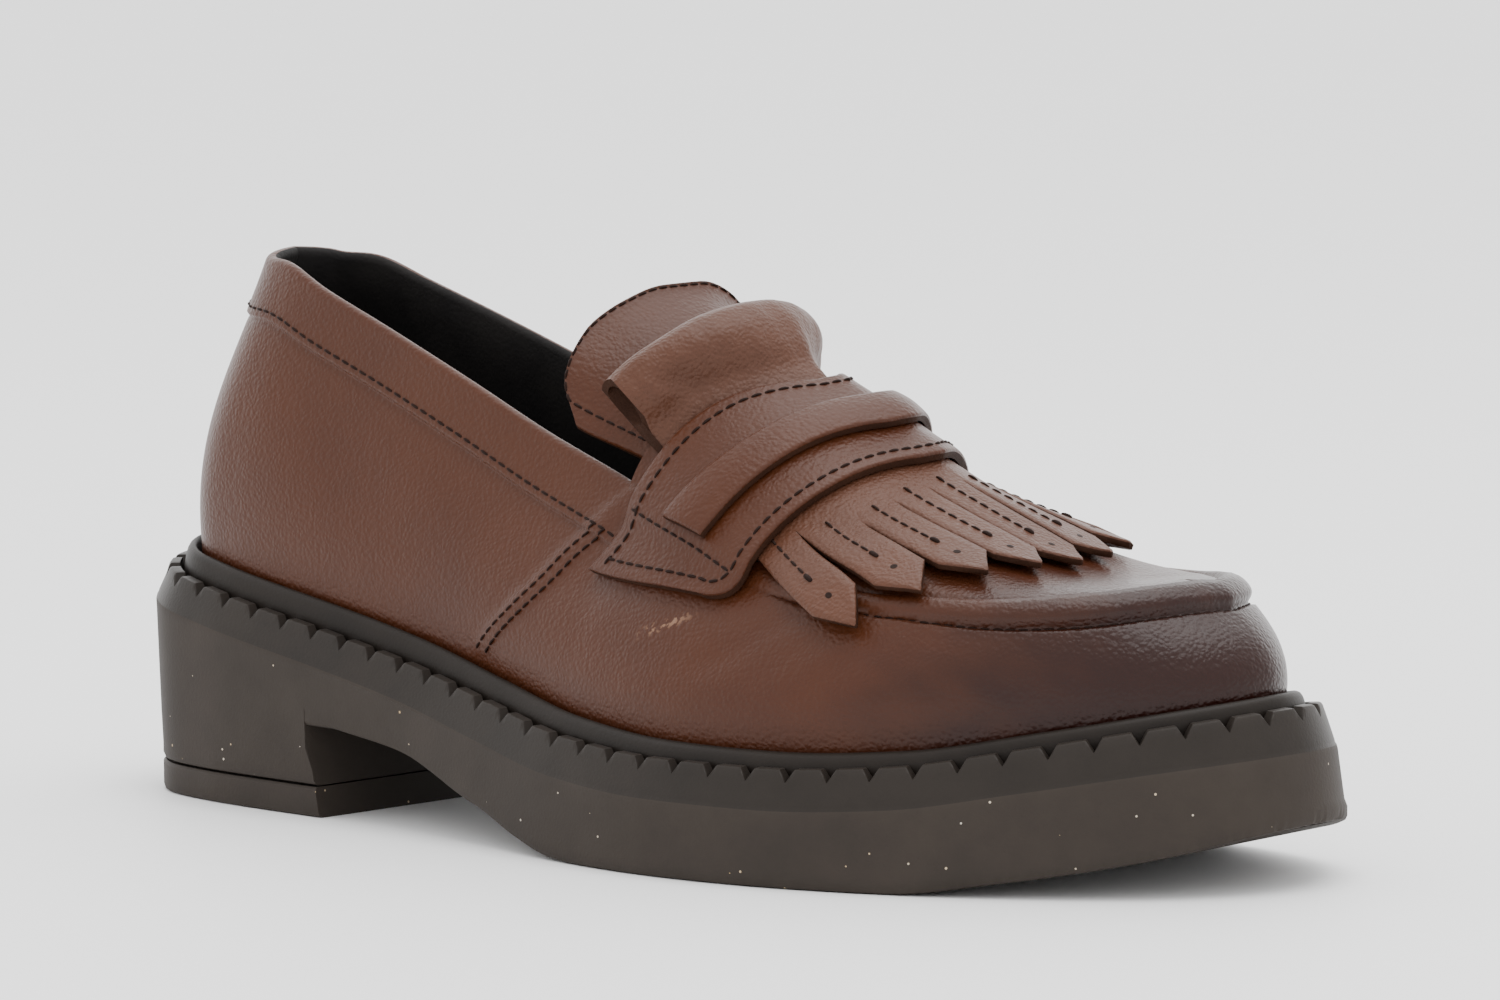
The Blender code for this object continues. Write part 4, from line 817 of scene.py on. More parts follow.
def scuffed(wiring, colour):
    """A small pale scuff under the wing of the saddle: flecks that lie along a short line."""
    middle = Vector((SCUFF_FROM + SCUFF_TO) / 2)
    run = Vector(SCUFF_TO - SCUFF_FROM)
    beside = run.normalized().cross(Vector((0, 1, 0)))
    away = wiring.node("ShaderNodeVectorMath", operation="SUBTRACT")
    wiring.link(wiring.node("ShaderNodeTexCoord").outputs["Object"], away.inputs[0])
    away.inputs[1].default_value = middle
    masks = []
    for direction, reach in ((run.normalized(), run.length / 2), (beside, SCUFF_HALF_WIDTH)):
        along = wiring.node("ShaderNodeVectorMath", operation="DOT_PRODUCT")
        along.inputs[1].default_value = direction
        wiring.link(away.outputs[0], along.inputs[0])
        near = wiring.node("ShaderNodeMapRange", From_Min=reach * 0.4, From_Max=reach * 1.2,
                           To_Min=1.0, To_Max=0.0)
        wiring.link(wiring.maths("ABSOLUTE", along.outputs["Value"]), near.inputs["Value"])
        masks.append(near.outputs["Result"])
    flakes = wiring.node("ShaderNodeTexNoise", Scale=900.0, Detail=2.0)
    wiring.link(away.outputs[0], flakes.inputs["Vector"])
    chosen = wiring.node("ShaderNodeMapRange", From_Min=0.52, From_Max=0.6)
    wiring.link(flakes.outputs["Fac"], chosen.inputs["Value"])
    outside = wiring.node("ShaderNodeSeparateXYZ")
    wiring.link(away.outputs[0], outside.inputs[0])
    mask = wiring.maths("MULTIPLY", wiring.maths("MULTIPLY", *masks), chosen.outputs["Result"])
    mask = wiring.maths("MULTIPLY", mask, wiring.maths("LESS_THAN", outside.outputs["Y"], 0.012))
    return wiring.blend(wiring.maths("MULTIPLY", mask, 0.65), colour, SCUFF_COLOUR)


def leather(name, brown, shade, cells, depth, roughness, burnished=True):
    """Grained leather. The upper's is burnished towards the toe and has the scuff."""
    made, wiring, shader = new_finish(name, roughness, Coat_Weight=0.07, Coat_Roughness=0.26,
                                      Specular_IOR_Level=0.22)
    colour = place_group(wiring, cloud_group, Colour=brown, Second=shade, Scale=34.0, Amount=0.55).outputs[0]
    if burnished:
        where = wiring.node("ShaderNodeSeparateXYZ")
        wiring.link(wiring.node("ShaderNodeTexCoord").outputs["Object"], where.inputs[0])
        edge_noise = wiring.node("ShaderNodeTexNoise", Scale=14.0, Detail=1.0)
        wobble = wiring.maths("MULTIPLY", wiring.maths("SUBTRACT", edge_noise.outputs["Fac"], 0.5), 0.03)
        lower = wiring.maths("MULTIPLY", where.outputs["Z"], -0.55)
        along = wiring.maths("ADD", wiring.maths("ADD", where.outputs["X"], wobble), lower)
        toe = wiring.node("ShaderNodeMapRange", interpolation_type="SMOOTHERSTEP",
                          From_Min=BURNISH_START, From_Max=BURNISH_END)
        wiring.link(along, toe.inputs["Value"])
        colour = wiring.blend(wiring.maths("MULTIPLY", toe.outputs["Result"], 0.88), colour, BURNISH)
        shine = wiring.node("ShaderNodeMapRange", To_Min=roughness, To_Max=roughness - 0.1)
        wiring.link(toe.outputs["Result"], shine.inputs["Value"])
        wiring.link(shine.outputs["Result"], shader.inputs["Roughness"])
        colour = scuffed(wiring, colour)
    wiring.link(colour, shader.inputs["Base Color"])
    grain = place_group(wiring, grain_group, Cells=cells, Pores=0.3)
    bump(wiring, shader, grain.outputs["Height"], 0.5, depth)
    return made


upper_leather = leather("upper_leather", HIDE_BROWN, HIDE_SHADE, cells=1150.0, depth=0.00031, roughness=0.42)
kiltie_leather = leather("kiltie_leather", PALE_BROWN, PALE_SHADE, cells=1250.0, depth=0.00046,
                         roughness=0.48, burnished=False)
print("leathers:", upper_leather.name, kiltie_leather.name)

# %% [markdown]
# Cut edges of the straps and tabs are painted dark, the lining is a matt black leather, and the thread is
# waxed dark brown. The dark edge paint also lines the hollow of the kiltie's roll as painted shade, and the
# thread's finish fills the tabs' holes as painted shade.

# %% Edge paint, lining and thread, which also paint the shade in the roll's hollow and the tabs' holes
def plain_finish(name, colour, second, roughness, cells, depth):
    """A dull finish of two close colours with a grain of its own."""
    made, wiring, shader = new_finish(name, roughness, Specular_IOR_Level=0.08)
    tint = place_group(wiring, cloud_group, Colour=colour, Second=second, Scale=90.0, Amount=0.6)
    wiring.link(tint.outputs[0], shader.inputs["Base Color"])
    grain = place_group(wiring, grain_group, Cells=cells, Pores=0.6)
    bump(wiring, shader, grain.outputs["Height"], 0.4, depth)
    return made


edge_paint_and_hollow_shade = plain_finish("edge_paint_and_hollow_shade", (0.024, 0.0095, 0.0055), (0.042, 0.018, 0.010), 0.7, 2200.0, 0.0002)
lining_black = plain_finish("lining_black", (0.012, 0.011, 0.011), (0.020, 0.018, 0.017), 0.62, 1200.0,
                            0.0002)
thread_and_hole_shade = plain_finish("thread_and_hole_shade", (0.013, 0.0058, 0.0042), (0.020, 0.0095, 0.0066), 0.55, 3000.0,
                            0.0001)
print("edges, lining and thread:", edge_paint_and_hollow_shade.name, lining_black.name, thread_and_hole_shade.name)

# %% [markdown]
# The unit sole is a foamed rubber in dark grey-brown, with tiny pale and gold flecks. They could be small
# solids, but nobody could feel them on the real sole. So they are colour alone: the middles of the cells of
# a Voronoi texture, kept only where the cell's own random number is high. All three rubbers share one fine
# skin, which is a group.

# %% Rubber skin group
rubber_group, wiring, start, end = new_group(
    "rubber_skin", [("Fineness", FLOAT, 1500.0)], [("Height", FLOAT)])
fine = wiring.node("ShaderNodeTexNoise", Detail=3.0)
wiring.link(wiring.node("ShaderNodeTexCoord").outputs["Object"], fine.inputs["Vector"])
wiring.link(start.outputs["Fineness"], fine.inputs["Scale"])
wiring.link(fine.outputs["Fac"], end.inputs["Height"])
print("group:", rubber_group.name)

# %% Rubber finishes
def rubber(name, colour, second, roughness, flecks):
    """Moulded rubber of two close colours, with or without flecks."""
    made, wiring, shader = new_finish(name, roughness, Specular_IOR_Level=0.16)
    tint = place_group(wiring, cloud_group, Colour=colour, Second=second, Scale=60.0, Amount=0.7).outputs[0]
    if flecks:
        spots = wiring.node("ShaderNodeTexVoronoi", feature="F1", Scale=430.0)
        wiring.link(wiring.node("ShaderNodeTexCoord").outputs["Object"], spots.inputs["Vector"])
        random = wiring.node("ShaderNodeSeparateColor")
        wiring.link(spots.outputs["Color"], random.inputs[0])
        chosen = wiring.maths("GREATER_THAN", random.outputs["Red"], 0.72)
        small = wiring.maths("LESS_THAN", spots.outputs["Distance"],
                             wiring.maths("MULTIPLY", random.outputs["Green"], 0.12))
        fleck = wiring.blend(random.outputs["Blue"], (0.42, 0.30, 0.16), (0.48, 0.44, 0.38))
        tint = wiring.blend(wiring.maths("MULTIPLY", chosen, small), tint, fleck)
    wiring.link(tint, shader.inputs["Base Color"])
    skin = place_group(wiring, rubber_group, Fineness=1500.0)
    bump(wiring, shader, skin.outputs["Height"], 0.35, 0.00015)
    return made


sole_rubber = rubber("sole_rubber", (0.034, 0.0265, 0.0215), (0.025, 0.0195, 0.016), 0.62, flecks=True)
band_rubber = rubber("band_rubber", (0.021, 0.0165, 0.0135), (0.015, 0.012, 0.010), 0.45, flecks=False)
welt_rubber = rubber("welt_rubber", (0.0135, 0.0098, 0.0075), (0.009, 0.0065, 0.005), 0.5, flecks=False)
print("rubbers:", sole_rubber.name, band_rubber.name, welt_rubber.name)

# %% [markdown]
# ## Making pieces
# Each piece is a closed skin of rows of points. A face remembers which finish it takes, so the cut edge
# of a strap can be painted while its top stays leather.

# %% A mesh that is filled row by row
class Skin:
    """Points and faces of a piece, and for each face the number of its finish."""

    def __init__(self):
        self.points = []
        self.faces = []
        self.kinds = []
        self.kind = 0

    def add(self, rows):
        rows = np.asarray(rows, float)
        first = len(self.points)
        self.points.extend(rows.reshape(-1, 3))
        return np.arange(first, len(self.points)).reshape(rows.shape[:-1])

    def face(self, *corners):
        """One face, unless its corners fall together."""
        kept = [int(c) for i, c in enumerate(corners) if c != corners[i - 1]]
        if len(kept) > 2:
            self.faces.append(kept)
            self.kinds.append(self.kind)

    def strip(self, low, high, closed=False):
        count = len(low)
        for i in range(count if closed else count - 1):
            j = (i + 1) % count
            self.face(low[i], low[j], high[j], high[i])

    def sheet(self, grid, closed=False):
        for low, high in zip(grid[:-1], grid[1:]):
            self.strip(low, high, closed)

    def slab(self, upper_grid, lower_grid, edge_kind=0):
        """Two grids with their four edges closed between them."""
        self.sheet(upper_grid)
        self.sheet(lower_grid)
        self.kind = edge_kind
        for row in (0, -1):
            self.strip(upper_grid[row], lower_grid[row])
            self.strip(upper_grid[:, row], lower_grid[:, row])
        self.kind = 0

    def ladder(self, ring, first=0, last=None):
        """Rungs between the two sides of a ring that starts at the back of the shoe."""
        count = len(ring)
        for k in range(first, count // 2 if last is None else last):
            self.face(ring[k], ring[k + 1], ring[(count - k - 1) % count], ring[(count - k) % count])


def round_the_shoe(places, line):
    """Points of a line all the way round: back, outer side, toe, inner side."""
    outer = line(OUTER, places[OUTER])
    inner = line(INNER, places[INNER])
    return np.concatenate((outer, inner[-2:0:-1]))


def dress(name, skin, finishes, slot, *nodes, sharp=50):
    """Turn a skin into an object that rides with the shoe and stands for its solids."""
    data = bpy.data.meshes.new(name)
    data.from_pydata([tuple(point * METRES) for point in skin.points], [], skin.faces)
    for finish in finishes:
        data.materials.append(finish)
    data.polygons.foreach_set("material_index", skin.kinds)
    shape = bmesh.new()
    shape.from_mesh(data)
    bmesh.ops.recalc_face_normals(shape, faces=shape.faces)
    shape.to_mesh(data)
    shape.free()
    data.shade_smooth()
    data.set_sharp_from_angle(angle=math.radians(sharp))
    piece = bpy.data.objects.new(name, data)
    bpy.context.collection.objects.link(piece)
    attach(piece, "root")
    if nodes:
        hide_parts(*nodes)
    print(name, "has", len(data.polygons), "faces")


print("pieces ride on root, where one millimetre is", METRES, "m")

# %% [markdown]
# Stitches are short, plump and slightly sunk at both ends. An array along a curve could lay them too, but
# it would turn them off the leather where the line bends over the instep. So one function lays them along
# any line with its normals: it steps by the stitch's pitch, and each stitch is a small tapered tube.

# %% Stitches along a line
def stitch_line(skin, line, normals, pitch, thickness, share=0.86, sunk=0.2):
    """Stitches along a line of points with the surface's normals there."""
    lengths = np.concatenate(([0.0], np.cumsum(np.linalg.norm(np.diff(line, axis=0), axis=1))))
    count = max(int(lengths[-1] / pitch), 1)
    shares = np.array((0.0, 0.1, 0.35, 0.65, 0.9, 1.0))
    girth = np.array((0.35, 0.85, 1.0, 1.0, 0.85, 0.35)) * thickness
    rise = np.array((-1.0, -0.2, 0.45, 0.45, -0.2, -1.0)) * sunk
    turns = np.arange(6) * math.tau / 6
    for number in range(count):
        at = (number + (1 - share) / 2 + shares * share) * lengths[-1] / count
        centre = np.stack([np.interp(at, lengths, line[:, axis]) for axis in range(3)], axis=-1)
        out = np.stack([np.interp(at, lengths, normals[:, axis]) for axis in range(3)], axis=-1)
        out /= np.linalg.norm(out, axis=-1, keepdims=True)
        ahead = np.gradient(centre, axis=0)
        aside = np.cross(ahead, out)
        aside /= np.linalg.norm(aside, axis=-1, keepdims=True)
        centre = centre + out * rise[:, None]
        rings = []
        for middle, radius, side_way, upward in zip(centre, girth, aside, out):
            round_it = np.cos(turns)[:, None] * side_way + np.sin(turns)[:, None] * upward
            rings.append(skin.add(middle + radius * round_it))
        skin.sheet(rings, closed=True)
        skin.face(*rings[0])
        skin.face(*rings[-1])


def instep_line(ahead, across, lift):
    """A line over the instep with its normals, for stitches."""
    line = over_instep(ahead, across, lift)
    return line, over_instep(ahead, across, lift + 1.0) - line


print("a stitch of 2.6 mm pitch repeats", int(RIDGE_LENGTHS[-1] / 2.6), "times along the instep")

# %% [markdown]
# ## Sole
# The unit sole is moulded in one piece: a heel block, a thin waist and a thick forefoot, with a smooth
# band along its top and a ring of teeth above that. Flat-topped teeth with V-shaped notches follow the
# whole outline. Notches could be cut with a boolean, but that leaves slivers which shade badly, so the
# columns of the mesh are set tooth by tooth.

# %% Columns of the sole, set by the teeth
TOOTH_SHARES = (0.0, NOTCH_SHARE * 0.22, NOTCH_SHARE * 0.46, NOTCH_SHARE * 0.56, 0.36, 0.5, 0.64,
                1 - NOTCH_SHARE * 0.56, 1 - NOTCH_SHARE * 0.46, 1 - NOTCH_SHARE * 0.22)
TOOTH_RISES = (0.0, 0.48, 0.97, 1.0, 1.0, 1.0, 1.0, 1.0, 0.97, 0.48)
PER_TOOTH = len(TOOTH_SHARES)
sole_places = {}
for side, notches in NOTCHES.items():
    spans = np.diff(notches)[:, None]
    sole_places[side] = np.append((notches[:-1, None] + spans * np.array(TOOTH_SHARES)).ravel(), 1.0)
tooth_count = len(NOTCHES[OUTER]) - 1
tooth_rises = np.append(np.tile(TOOTH_RISES, tooth_count), 0.0)
breast_column = BREAST_NOTCH * PER_TOOTH
breast_place = {side: places[BREAST_NOTCH] for side, places in NOTCHES.items()}
print("teeth on each side:", tooth_count, "columns on each side:", len(sole_places[OUTER]))

# %% Side of the sole
EDGE_ROUND = 1.1
SERRATION_PITCH = 2.1
SERRATION_DEPTH = 0.45


def sole_rows(side, around, lowest):
    """Rows up the side of the sole: how far out, and how high, with the plan's inset."""
    plan, _ = edge(side, around)
    top = sole_top(plan[..., 0])
    band = BAND_HEIGHT * smooth(SIDE, "band", around)
    flare = FLARE * smooth(SIDE, "flare", around)
    length = EDGE[side][3]
    ripple = 0.5 - 0.5 * np.cos(math.tau * around * length / SERRATION_PITCH)
    ripple = SERRATION_DEPTH * ripple * fade(around, 0.72, 0.8)
    shoulder = BAND_LEAN + BAND_STEP
    body = top - band - lowest
    # Beside the heel the waist's side keeps the heel's slope, so the two meet without a step.
    beside_heel = 1 - fade(around, breast_place[side], breast_place[side] + 0.1)
    full = beside_heel * (top - band - TOP_PIECE_THICKNESS - GAP) + (1 - beside_heel) * body
    flare = shoulder + (flare - shoulder) * body / full
    rows = [(flare - EDGE_ROUND - ripple, lowest),
            (flare - 0.3 * EDGE_ROUND - ripple, lowest + 0.3 * EDGE_ROUND),
            (flare - 0.6 * ripple, lowest + EDGE_ROUND),
            (flare, lowest + 2.6 * EDGE_ROUND)]
    for share in (0.3, 0.5, 0.7, 0.85, 0.95):
        rows.append((flare + (shoulder - flare) * share, lowest + body * share))
    rows += [(shoulder, top - band - 0.5), (shoulder - 0.12, top - band),
             (shoulder - 0.4, top - band + 0.4), (BAND_LEAN - 0.02, top - band + 0.9)]
    rise = tooth_rises * TOOTH_HEIGHT
    lean = TOOTH_LEAN * tooth_rises
    for share in (0.3, 0.6, 0.85):
        rows.append((BAND_LEAN * (1 - share), top - (1 - share) * (band - 0.9)))
    rows += [(-0.15 * lean, top + 0.15 * rise), (-0.75 * lean, top + 0.8 * rise),
             (-lean - 0.1, top + 0.96 * rise), (-lean - 0.45, top + rise), (-TOOTH_DEPTH + 0.3, top + rise)]
    inside, _ = edge(side, around, TOOTH_DEPTH)
    rows.append((-TOOTH_DEPTH + 0 * flare, sole_top(inside[..., 0])))
    return [raised(edge(side, around, -out)[0], height + 0 * around) for out, height in rows]


def bottom_of_sole(side, around):
    """Heel block or waist: the lowest line of the unit sole."""
    plan, _ = edge(side, around)
    in_heel = np.arange(len(around)) <= breast_column
    return np.where(in_heel, TOP_PIECE_THICKNESS + GAP, tread(plan[..., 0]))


def lean_breast(points, column):
    """Move one column, the heel's front corner, forward as the front face leans."""
    shift = BREAST_RAKE * (1 - points[column, 2] / WAIST_LIFT)
    points[column, 0] += shift * math.cos(HEEL_TURN)
    points[column, 1] -= shift * math.sin(HEEL_TURN)
    return points


sole_sides = {side: bottom_of_sole(side, sole_places[side]) for side in (OUTER, INNER)}
print("highest point of the tread line:", round(float(sole_sides[OUTER].max()), 1), "mm")

# %% Build the unit sole
LEANING_ROWS = 4            # lowest rows, which lean with the heel's front face
WAIST_ROWS = 9              # rows below the band, where the waist has its own column beside the heel
BAND_ROW = 10               # from this row on the sole is the band
skin = Skin()
row_count = len(sole_rows(OUTER, sole_places[OUTER], 0 * sole_places[OUTER]))


def sole_row(number, waist_only=False):
    """One row of the side all the way round, or the same row as if the shoe had no heel."""
    def line(side, around):
        lowest = tread(edge(side, around)[0][..., 0]) if waist_only else bottom_of_sole(side, around)
        points = sole_rows(side, around, lowest)[number]
        if not waist_only and number < LEANING_ROWS:
            points = lean_breast(points, breast_column)
        return points
    return round_the_shoe(sole_places, line)


grid = [skin.add(sole_row(number)) for number in range(row_count)]
half = len(sole_places[OUTER]) - 1
count = 2 * half
fronts = (breast_column, count - breast_column)
waist_lines = [sole_row(number, waist_only=True) for number in range(WAIST_ROWS)]
waist_numbers = {place: [int(skin.add([line[place]])[0]) for line in waist_lines] for place in fronts}
# The heel's front face stands between its own column and the waist's column at the same place.
for k in range(count):
    j = (k + 1) % count
    for number in range(row_count - 1):
        skin.kind = 1 if number >= BAND_ROW else 0
        low, high = grid[number], grid[number + 1]
        corners = [low[k], low[j], high[j], high[k]]
        if k == fronts[0] or j == fronts[1]:
            front, its_corners = (fronts[0], (0, 3)) if k == fronts[0] else (fronts[1], (1, 2))
            for corner, row in zip(its_corners, (number, number + 1)):
                if row < WAIST_ROWS:
                    corners[corner] = waist_numbers[front][row]
        skin.face(*corners)
skin.kind = 0
skin.ladder(grid[-1])
skin.ladder(grid[0], 0, breast_column)
under = np.array(grid[0])
for place, numbers in waist_numbers.items():
    under[place] = numbers[0]
skin.ladder(under, breast_column, half)
outer_front, inner_front = ([grid[row][front] for row in range(WAIST_ROWS + 1)] for front in fronts)
outer_waist, inner_waist = (waist_numbers[front] for front in fronts)
skin.face(*outer_front, *outer_waist[::-1], *inner_waist, *inner_front[::-1])
dress("moulded_sole", skin, [sole_rubber, band_rubber], "sole_rubber", "unit_sole", sharp=32)

# %% [markdown]
# The slab under the heel takes the wear. It has the heel's own outline, and a fine groove parts it from
# the block above.

# %% Build the slab under the heel
skin = Skin()
heel_places = {side: places[:breast_column + 1] for side, places in sole_places.items()}
SLAB_SECTION = ((-1.0, 0.0), (-0.25, 0.25), (0.0, 1.0), (0.0, 5.4), (-0.5, TOP_PIECE_THICKNESS))


def slab_line(side, out, height):
    """Half a ring of the slab, moved out from the flared side of the heel."""
    around = heel_places[side]
    flare = FLARE * smooth(SIDE, "flare", around)
    return lean_breast(raised(edge(side, around, -(flare + out))[0], height + 0 * around), -1)


rings = [skin.add(np.concatenate((slab_line(OUTER, out, height), slab_line(INNER, out, height)[:0:-1])))
         for out, height in SLAB_SECTION]
skin.sheet(rings, closed=True)
for ring in (rings[0], rings[-1]):
    skin.ladder(ring, 0, breast_column)
dress("heel_slab", skin, [sole_rubber], "sole_rubber", "heel_top_piece", sharp=38)

# %% [markdown]
# A smooth rubber bead runs between the teeth and the upper. Its section is a soft hump with a narrow
# groove beside the leather. A bevelled curve would give a round cord of one width, but the bead gets
# narrower at the toe, so its section is stretched between two lines instead.

# %% Build the bead round the upper
WELT_CURVE = ((1.0, 0.0), (1.02, 0.2), (1.0, 0.42), (0.93, 0.62), (0.82, 0.79), (0.68, 0.91), (0.52, 0.97),
              (0.38, 1.0), (0.26, 0.97), (0.17, 0.86), (0.1, 0.72), (0.0, 0.66), (0.0, 0.0))
skin = Skin()
welt_places = {side: np.linspace(0, 1, 181) for side in (OUTER, INNER)}


def welt_ring(out, rise):
    """One ring of the bead: out is 0 beside the leather and 1 beside the teeth."""
    def line(side, around):
        outer = TOOTH_DEPTH + WELT_FROM_TEETH
        inner = FEATHER_INSET * smooth(SIDE, "feather", around) - GAP
        plan, _ = edge(side, around, outer * out + inner * (1 - out))
        height = WELT_HEIGHT * smooth(SIDE, "welt", around) - BED
        return raised(plan, sole_top(plan[..., 0]) + BED + rise * height)
    return skin.add(round_the_shoe(welt_places, line))


rings = [welt_ring(out, rise) for out, rise in WELT_CURVE]
skin.sheet(rings + [rings[0]], closed=True)
dress("rubber_bead", skin, [welt_rubber], "welt_rubber", "storm_welt", sharp=60)

# %% [markdown]
# ## Upper
# The upper is one closed skin: leather outside, a rounded rim at the collar, and black lining inside.
# A modifier could thicken a single sheet, but the rim and the relief need points of their own. So rows of
# points lie close together where the relief is fine, at the collar band and at the apron seam, and further
# apart elsewhere. Heights of the relief are given by their distance from the top of the wall.

# %% Relief of the leather on the wall and the apron
UPPER_COLUMNS = 240
RELIEF_DEPTH = 18.0         # the rows that carry relief start this far below the top of the wall
RIM_RADIUS = (WALL + COLLAR_BAND_STEP) / 2
WALL_DISTANCES = (-RELIEF_DEPTH, -16.0, -14.6, -13.7, -13.1, -12.8, -12.5, -12.2, -11.8, -11.0, -9.6, -8.2,
                  -7.2, -6.6, -6.1, -5.7, -5.3, -4.9, -4.5, -4.0, -3.4, -2.8, -2.1)
LINING_DISTANCES = (-RELIEF_DEPTH, -12.0, -7.0, -RIM_RADIUS)
APRON_DISTANCES = (-1.4, -0.7, 0.0, 0.6, 1.2, 1.7, 2.2, 2.8, 3.6, 4.8, 6.4)
SEAM_ROLL = dict(distance=(-9.0, -6.8, -6.2, -5.6, -5.0, -3.9, -2.4, -1.0, 0.0, 0.9, 1.5, 2.0, 2.8, 5.0),
                 height=(0.0, 0.0, -1.0, -0.8, 0.75, 1.55, 1.75, 1.6, 1.2, 0.4, -0.6, -0.8, -0.3, 0.0))


def seam_width(around):
    """The roll along the apron seam is narrow beside the saddle and widest at the toe."""
    return 0.55 + 0.4 * fade(around, 0.62, 0.86)


def relief(around, distance):
    """Height of the leather's relief at a distance from the top of the wall."""
    behind_throat = 1 - fade(around, THROAT - 0.01, THROAT + 0.02)
    from_band = distance + COLLAR_BAND
    collar = COLLAR_BAND_STEP * fade(from_band, -0.4, 0.4) * behind_throat
    groove = -0.15 * np.exp(-((from_band + 0.6) / 0.5) ** 2) * behind_throat
    width = seam_width(around)
    roll = width * smooth(SEAM_ROLL, "height", distance / width, "distance") * fade(around, 0.56, 0.63)
    return collar + groove + roll


CREASED_HEIGHT = 45.0       # of the wall, where it creases
# Soft creases: place round the shoe, height on the wall, half length and half width in millimetres of
# the two directions, turn in degrees, and depth
CREASES = (
    (0.615, 0.66, 13.0, 3.6, 50.0, 0.3), (0.650, 0.60, 15.0, 4.6, 58.0, 0.3),
    (0.600, 0.45, 12.0, 4.0, 40.0, 0.25), (0.690, 0.55, 13.0, 4.4, 62.0, 0.25),
    (0.470, 0.52, 16.0, 4.5, 20.0, 0.4), (0.500, 0.30, 22.0, 6.0, 8.0, 0.35),
    (0.350, 0.62, 26.0, 7.0, -12.0, 0.4), (0.260, 0.45, 22.0, 9.0, -20.0, 0.5),
    (0.550, 0.38, 20.0, 5.0, 12.0, 0.35), (0.730, 0.62, 10.0, 4.0, 75.0, 0.3),
)


def crease_depth(side, around, up):
    """Depth of all the creases at a place on the wall."""
    length = EDGE[side][3]
    total = 0.0 * around * up
    for place, height, long, wide, turn, depth in CREASES:
        east = (around - place) * length
        north = (up - height) * CREASED_HEIGHT
        angle = math.radians(turn)
        beside = -east * math.sin(angle) + north * math.cos(angle)
        beyond = east * math.cos(angle) + north * math.sin(angle)
        total = total - depth * np.exp(-(beyond / long) ** 2 - (beside / wide) ** 2)
    return total


def wall_height(side, around):
    """Straight height of the wall from the welt to its top edge."""
    return np.linalg.norm(wall_top(side, around) - feather(side, around), axis=-1)


# The vamp lies over the quarter: its edge climbs forward from the welt to the collar band
VAMP_EDGE = dict(up=(0.0, 0.13, 0.28, 0.43, 0.6, 0.75, 1.0),
                 around=(0.372, 0.39, 0.411, 0.428, 0.443, 0.457, 0.478))


def vamp_step(side, around, up):
    """Height of the vamp over the quarter: a stitched strip at its edge, then a slow slope down."""
    ahead = (around - smooth(VAMP_EDGE, "around", up, "up")) * EDGE[side][3]
    strip = 0.35 * (fade(ahead, -0.4, 0.3) - fade(ahead, 4.2, 5.2))
    return strip + 0.4 * fade(ahead, -0.4, 0.3) * (1 - fade(ahead, 5.0, 30.0))


def leather_wall(side, around, distance, lift=0.0):
    """The dressed wall at a distance below its top edge."""
    up = 1 + distance / wall_height(side, around)
    height = relief(around, distance) + crease_depth(side, around, up) + vamp_step(side, around, up)
    return lifted(wall, side, around, up, height * fade(up, 0.0, 0.08) + lift)


def leather_apron(side, around, distance, lift=0.0):
    """The dressed apron at a distance from the seam."""
    length = np.linalg.norm(ridge(around) - wall_top(side, around), axis=-1)
    return lifted(apron, side, around, np.clip(distance / length, 0, 1), relief(around, distance) + lift)


print("creases on the wall:", len(CREASES))

# %% [markdown]
# The upper's rings run all round as far as the top of the wall. From there the collar's part turns over
# into the rim, and the rest goes on over the apron to the ridge, where both sides meet.

# %% Build the upper
skin = Skin()
places = {side: np.linspace(0, 1, UPPER_COLUMNS + 1) for side in (OUTER, INNER)}
throat_column = math.ceil(THROAT * UPPER_COLUMNS)
ring_size = 2 * UPPER_COLUMNS


def foot_ring(depth):
    """The lowest ring, on the sole's top, moved in by a depth."""
    def line(side, around):
        points = feather(side, around, depth)
        points[..., 2] = sole_top(points[..., 0]) + BED
        return points
    return skin.add(round_the_shoe(places, line))


def wall_rings(lining):
    """Rings of the wall from the welt to its top, of the leather or of the lining inside it."""
    rings = [foot_ring(WALL if lining else 0.0)]

    def add_ring(distance_at):
        def line(side, around):
            distance = distance_at(side, around)
            if lining:
                return lifted(wall, side, around, 1 + distance / wall_height(side, around), -WALL)
            return leather_wall(side, around, distance)
        rings.append(skin.add(round_the_shoe(places, line)))

    for share in np.linspace(0, 1, 9 if lining else 22)[:-1]:
        def plain_distance(side, around):
            height = wall_height(side, around)
            return share * (height - RELIEF_DEPTH) - height
        add_ring(plain_distance)
    for distance in LINING_DISTANCES if lining else WALL_DISTANCES:
        add_ring(lambda side, around: distance)
    return rings


